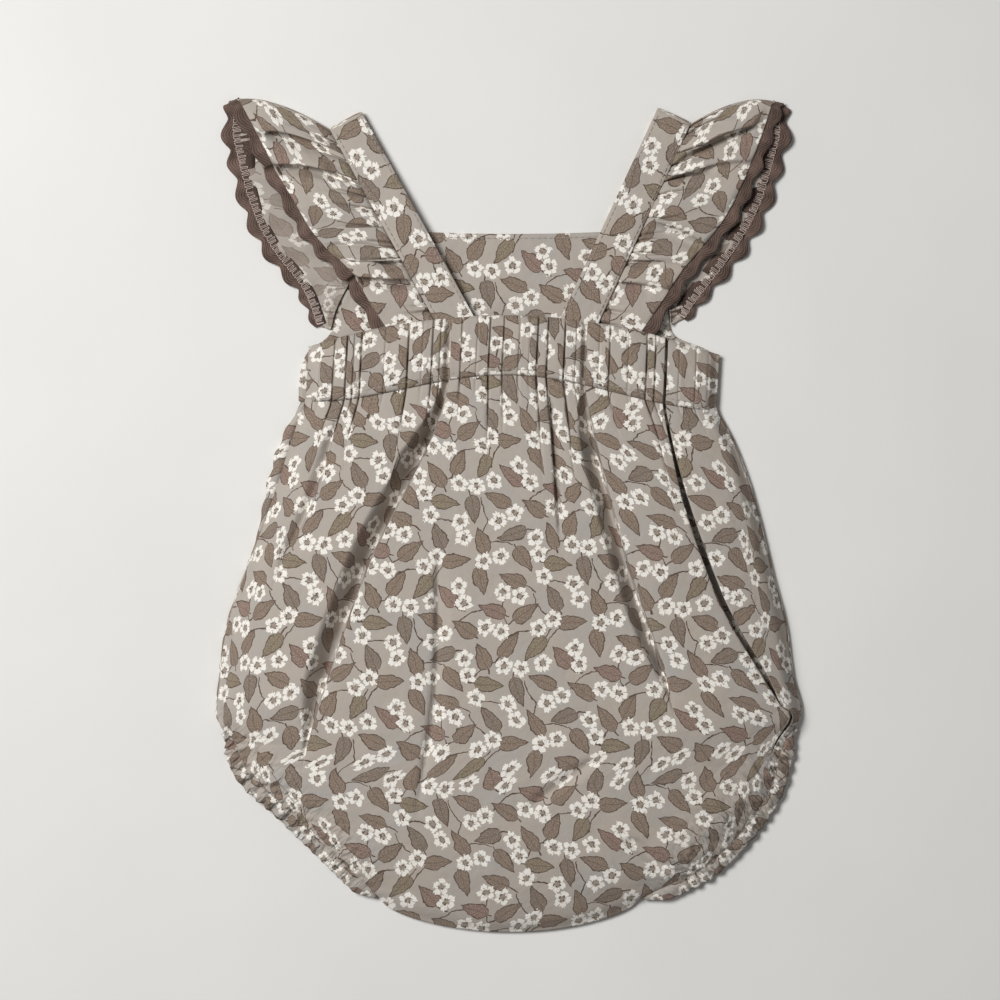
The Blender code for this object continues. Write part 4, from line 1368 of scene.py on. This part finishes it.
# %% Ric-rac
RICRAC_BACK, RICRAC_FRONT = (4.0, 6.4), (3.4, 6.6)
RICRAC_AT_FOLD = 3.4
RICRAC_SCALLOPS = 19
RICRAC_END = 0.55
RICRAC_CELLS = (456, 6)
RICRAC_TUCKED = 1.6  # mm hidden under the ruffle's edge
RICRAC_BELOW, RICRAC_ABOVE = -0.75, 0.15  # from the ruffle's edge, on the back half and the front
RICRAC_DOME, RICRAC_CURL, RICRAC_LOWEST = 0.5, 0.45, 0.9
RICRAC_CURL_SHIFT = {"left": 0.0, "right": 1.1}
RICRAC_WALL = 0.8 * MM
EDGE_LENGTH = RICRAC_PITCH * RICRAC_SCALLOPS


def ricrac_shape(side):
    def shape(u, v):
        tip = (0.5 - 0.5 * np.cos(2 * np.pi * RICRAC_SCALLOPS * u)) ** 0.75
        lobe = np.floor(RICRAC_SCALLOPS * u)
        curl = RICRAC_CURL * np.sin(lobe * 2.3 + RICRAC_CURL_SHIFT[side])
        ends = blend(1.0, RICRAC_END, ease(u * 5 - 4))
        back = blend(-RICRAC_TUCKED, blend(*RICRAC_BACK, tip), v)
        front = blend(-RICRAC_TUCKED, blend(*RICRAC_FRONT, tip) * ends, v)
        folded = blend(-RICRAC_TUCKED, RICRAC_AT_FOLD, v)
        at_fold = bell(u - RUFFLE_FOLD_MIDDLE, 0.03)
        back, front = blend(back, folded, at_fold), blend(front, folded, at_fold)
        places = ruffle_place(side, u, np.ones_like(u), back, front)
        on_back = u < RUFFLE_FOLD_MIDDLE
        dome = RICRAC_DOME * np.sin(np.pi * np.clip(v, 0, 1)) * tip + curl * v * tip
        lies = places[:, 2] + np.where(on_back, RICRAC_BELOW, RICRAC_ABOVE)
        places[:, 2] = np.maximum(lies + dome, RICRAC_LOWEST)
        return places, np.stack([u * EDGE_LENGTH, np.where(on_back, back, front)], axis=1)

    return shape


for side in SIDES:
    name, over = f"ricrac_{side}_braid", side == "right"
    cloth_piece(name, RICRAC_CELLS, ricrac_shape(side), over, RICRAC_WALL, (BRAID,))

# %% [markdown]
# ## The overlocked edge
# On the wrong side the ruffle's raw edge and the inner half of the ric-rac are bound together by
# an overlock machine. It shows along the front half: a dark strip with a cream thread going to and
# fro across it. The strip is one more sheet, and the thread is a thin tube along a zigzag.

# %% Overlocked strips and their thread
OVERLOCK_FROM, OVERLOCK_TO = 0.565, 0.995
OVERLOCK_START, OVERLOCK_WIDTH = 1.4, 5.2  # from past the ruffle's edge inwards
OVERLOCK_LIFT = 1.0
TEETH = 64
# The dark strip reaches farther in than the overlock thread, most near the shoulder: partly the
# overlocked braid, partly a dark sheet of painted shade under the ruffle's back half.
STRIP_AND_SHADE_REACH = {"left": (2.3, 1.0), "right": (1.7, 1.4)}  # times the width: at the shoulder, below
STRIP_CELLS, STRIP_WALL = (150, 4), 0.35 * MM
STRIP_CUT_LENGTH = 120.0
STRIP_RIPPLE, STRIP_DOME = 0.15, 0.35
THREAD_RADIUS, THREAD_LIFT = 0.2, 0.45


def overlock_place(side, u, v, lift):
    along = blend(OVERLOCK_FROM, OVERLOCK_TO, u)
    inward = OVERLOCK_START - OVERLOCK_WIDTH * v
    places = ruffle_place(side, along, np.ones_like(u), 0.0, inward)
    places[:, 2] += lift
    return places


def overlock_shape(side):
    def shape(u, v):
        ripple = STRIP_RIPPLE * np.sin(u * 240) * np.sin(np.pi * v)
        lift = OVERLOCK_LIFT + STRIP_DOME * np.sin(np.pi * v) + ripple
        # the strip's width, stretched past the thread as painted shade
        places = overlock_place(side, u, v * blend(*STRIP_AND_SHADE_REACH[side], ease(u * 2.4)), lift)
        return places, on_the_bolt("strip", u * STRIP_CUT_LENGTH, v * OVERLOCK_WIDTH)

    return shape


def overlock_line(side):
    """The thread's way to and fro: four corners for each tooth, none quite alike."""
    stop = np.arange(4 * TEETH)
    tooth, corner = stop // 4, stop % 4
    inner = (corner == 1) | (corner == 2)
    across = np.where(inner, 0.78 + 0.1 * np.sin(tooth * 1.7), 0.16 + 0.05 * np.sin(tooth * 2.9))
    step = (tooth + np.where(corner < 2, 0.1, 0.5) + 0.2 * np.sin(tooth * 2.1 + inner)) / TEETH
    return overlock_place(side, step, across, OVERLOCK_LIFT + THREAD_LIFT)


def thread_tube(name, points):
    """A thin tube of thread through points in mm."""
    path = bpy.data.curves.new(name, "CURVE")
    path.dimensions, path.bevel_depth, path.bevel_resolution = "3D", THREAD_RADIUS * MM, 1
    path.use_fill_caps = True
    run = path.splines.new("POLY")
    run.points.add(len(points) - 1)
    flat = np.column_stack([points * MM, np.ones(len(points))]).ravel()
    run.points.foreach_set("co", flat.tolist())
    path.materials.append(CREAM_THREAD)
    PIECES[name] = put_in_scene(name, path)
    print(f"{name}: {TEETH} teeth")


for side in SIDES:
    name, over = f"overlock_strip_{side}", side == "right"
    cloth_piece(name, STRIP_CELLS, overlock_shape(side), over, STRIP_WALL, (BOUND_EDGE,))
    thread_tube(f"overlock_thread_{side}", overlock_line(side))

# %% [markdown]
# ## Topstitching
# The waistband's lower edge, the leg casings, the straps and the neckline are stitched from the
# right side. Each stitch is a short thick bar of thread that sinks in at both ends. One small
# sphere is stretched into a stitch and copied along the line.

# %% Rows of stitches
STITCH_LENGTH, STITCH_GAP, STITCH_RADIUS = 2.3, 0.7, 0.19
STITCH_FLAT = 1.25  # a stitch is pressed wider than it is high
STITCH_LIFT, STRAP_STITCH_LIFT = 0.08, 0.05
BAND_ROW, NECK_ROW, LEG_ROW = 0.09, 0.035, 0.12  # shares of the piece's width from its edge
STRAP_ROW = 1.6  # mm from the strap's edge
LINE_POINTS = 500


def stitch_row(name, line):
    """Bars of thread along a line of places in mm, one every stitch length and gap."""
    steps = np.linalg.norm(np.diff(line, axis=0), axis=1)
    far = np.concatenate([[0], np.cumsum(steps)])
    starts = np.arange(0.5, far[-1] - STITCH_LENGTH, STITCH_LENGTH + STITCH_GAP)
    row = bmesh.new()
    for start in starts:
        one, two = (
            Vector([np.interp(at, far, line[:, k]) for k in range(3)])
            for at in (start, start + STITCH_LENGTH)
        )
        turn = (two - one).to_track_quat("X", "Z").to_matrix().to_4x4()
        wide = STITCH_RADIUS * STITCH_FLAT
        size = Matrix.Diagonal((STITCH_LENGTH / 2, wide, STITCH_RADIUS, 1 / MM))
        place = Matrix.Translation((one + two) / 2 * MM) @ turn @ (size * MM)
        bmesh.ops.create_uvsphere(row, u_segments=8, v_segments=5, radius=1.0, matrix=place)
    PIECES[name] = put_in_scene(name, finished_mesh(name, row, [TAUPE_THREAD]))
    print(f"{name}: {len(starts)} stitches")


even = np.linspace(0.01, 0.99, LINE_POINTS)
still = np.ones_like(even)
above = (0, 0, STITCH_LIFT)
stitch_row("waistband_stitches", band_shape(even, still * BAND_ROW)[0] + above)
stitch_row("neckline_stitches", bodice_shape(even, still * NECK_ROW)[0] + above)
for side in SIDES:
    leg_line, _ = casing_shape(side)(blend(0.03, 0.47, even), still * LEG_ROW)
    stitch_row(f"leg_stitches_{side}", leg_line + above)
    for edge, shift in (("inner", -1), ("outer", 1)):
        across = still * shift * (STRAP_WIDTH / 2 - STRAP_ROW) * OUTWARD[side]
        middle, facing = strap_middle(side, blend(STRAP_FOLD_TO, 0.97, even), across)
        line = middle + facing * (STRAP_THICKNESS / 2 + STRAP_STITCH_LIFT)
        stitch_row(f"strap_stitches_{side}_{edge}", line)

# %% [markdown]
# ## What each piece stands for
# Every piece rides on the one body of the part. The cloth pieces stand for the measured solids,
# which are then hidden.

# %% Ride and replace
STANDS_FOR = {
    "back_panel_cloth": "back_panel",
    "front_panel_cloth": "front_panel",
    "waistband_casing": "back_waistband",
    "front_bodice_cloth": "front_bodice",
}
for side in SIDES:
    STANDS_FOR[f"leg_casing_{side}_cloth"] = f"leg_casing_{side}"
    STANDS_FOR[f"strap_{side}_cloth"] = f"strap_{side}"
    STANDS_FOR[f"ruffle_{side}_cloth"] = f"ruffle_{side}"
    STANDS_FOR[f"ricrac_{side}_braid"] = f"ricrac_{side}"
for name, piece in PIECES.items():
    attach(piece, "root")
    if name in STANDS_FOR:
        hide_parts(STANDS_FOR[name])

print(len(PIECES), "pieces,", len(STANDS_FOR), "of them in place of a measured solid")
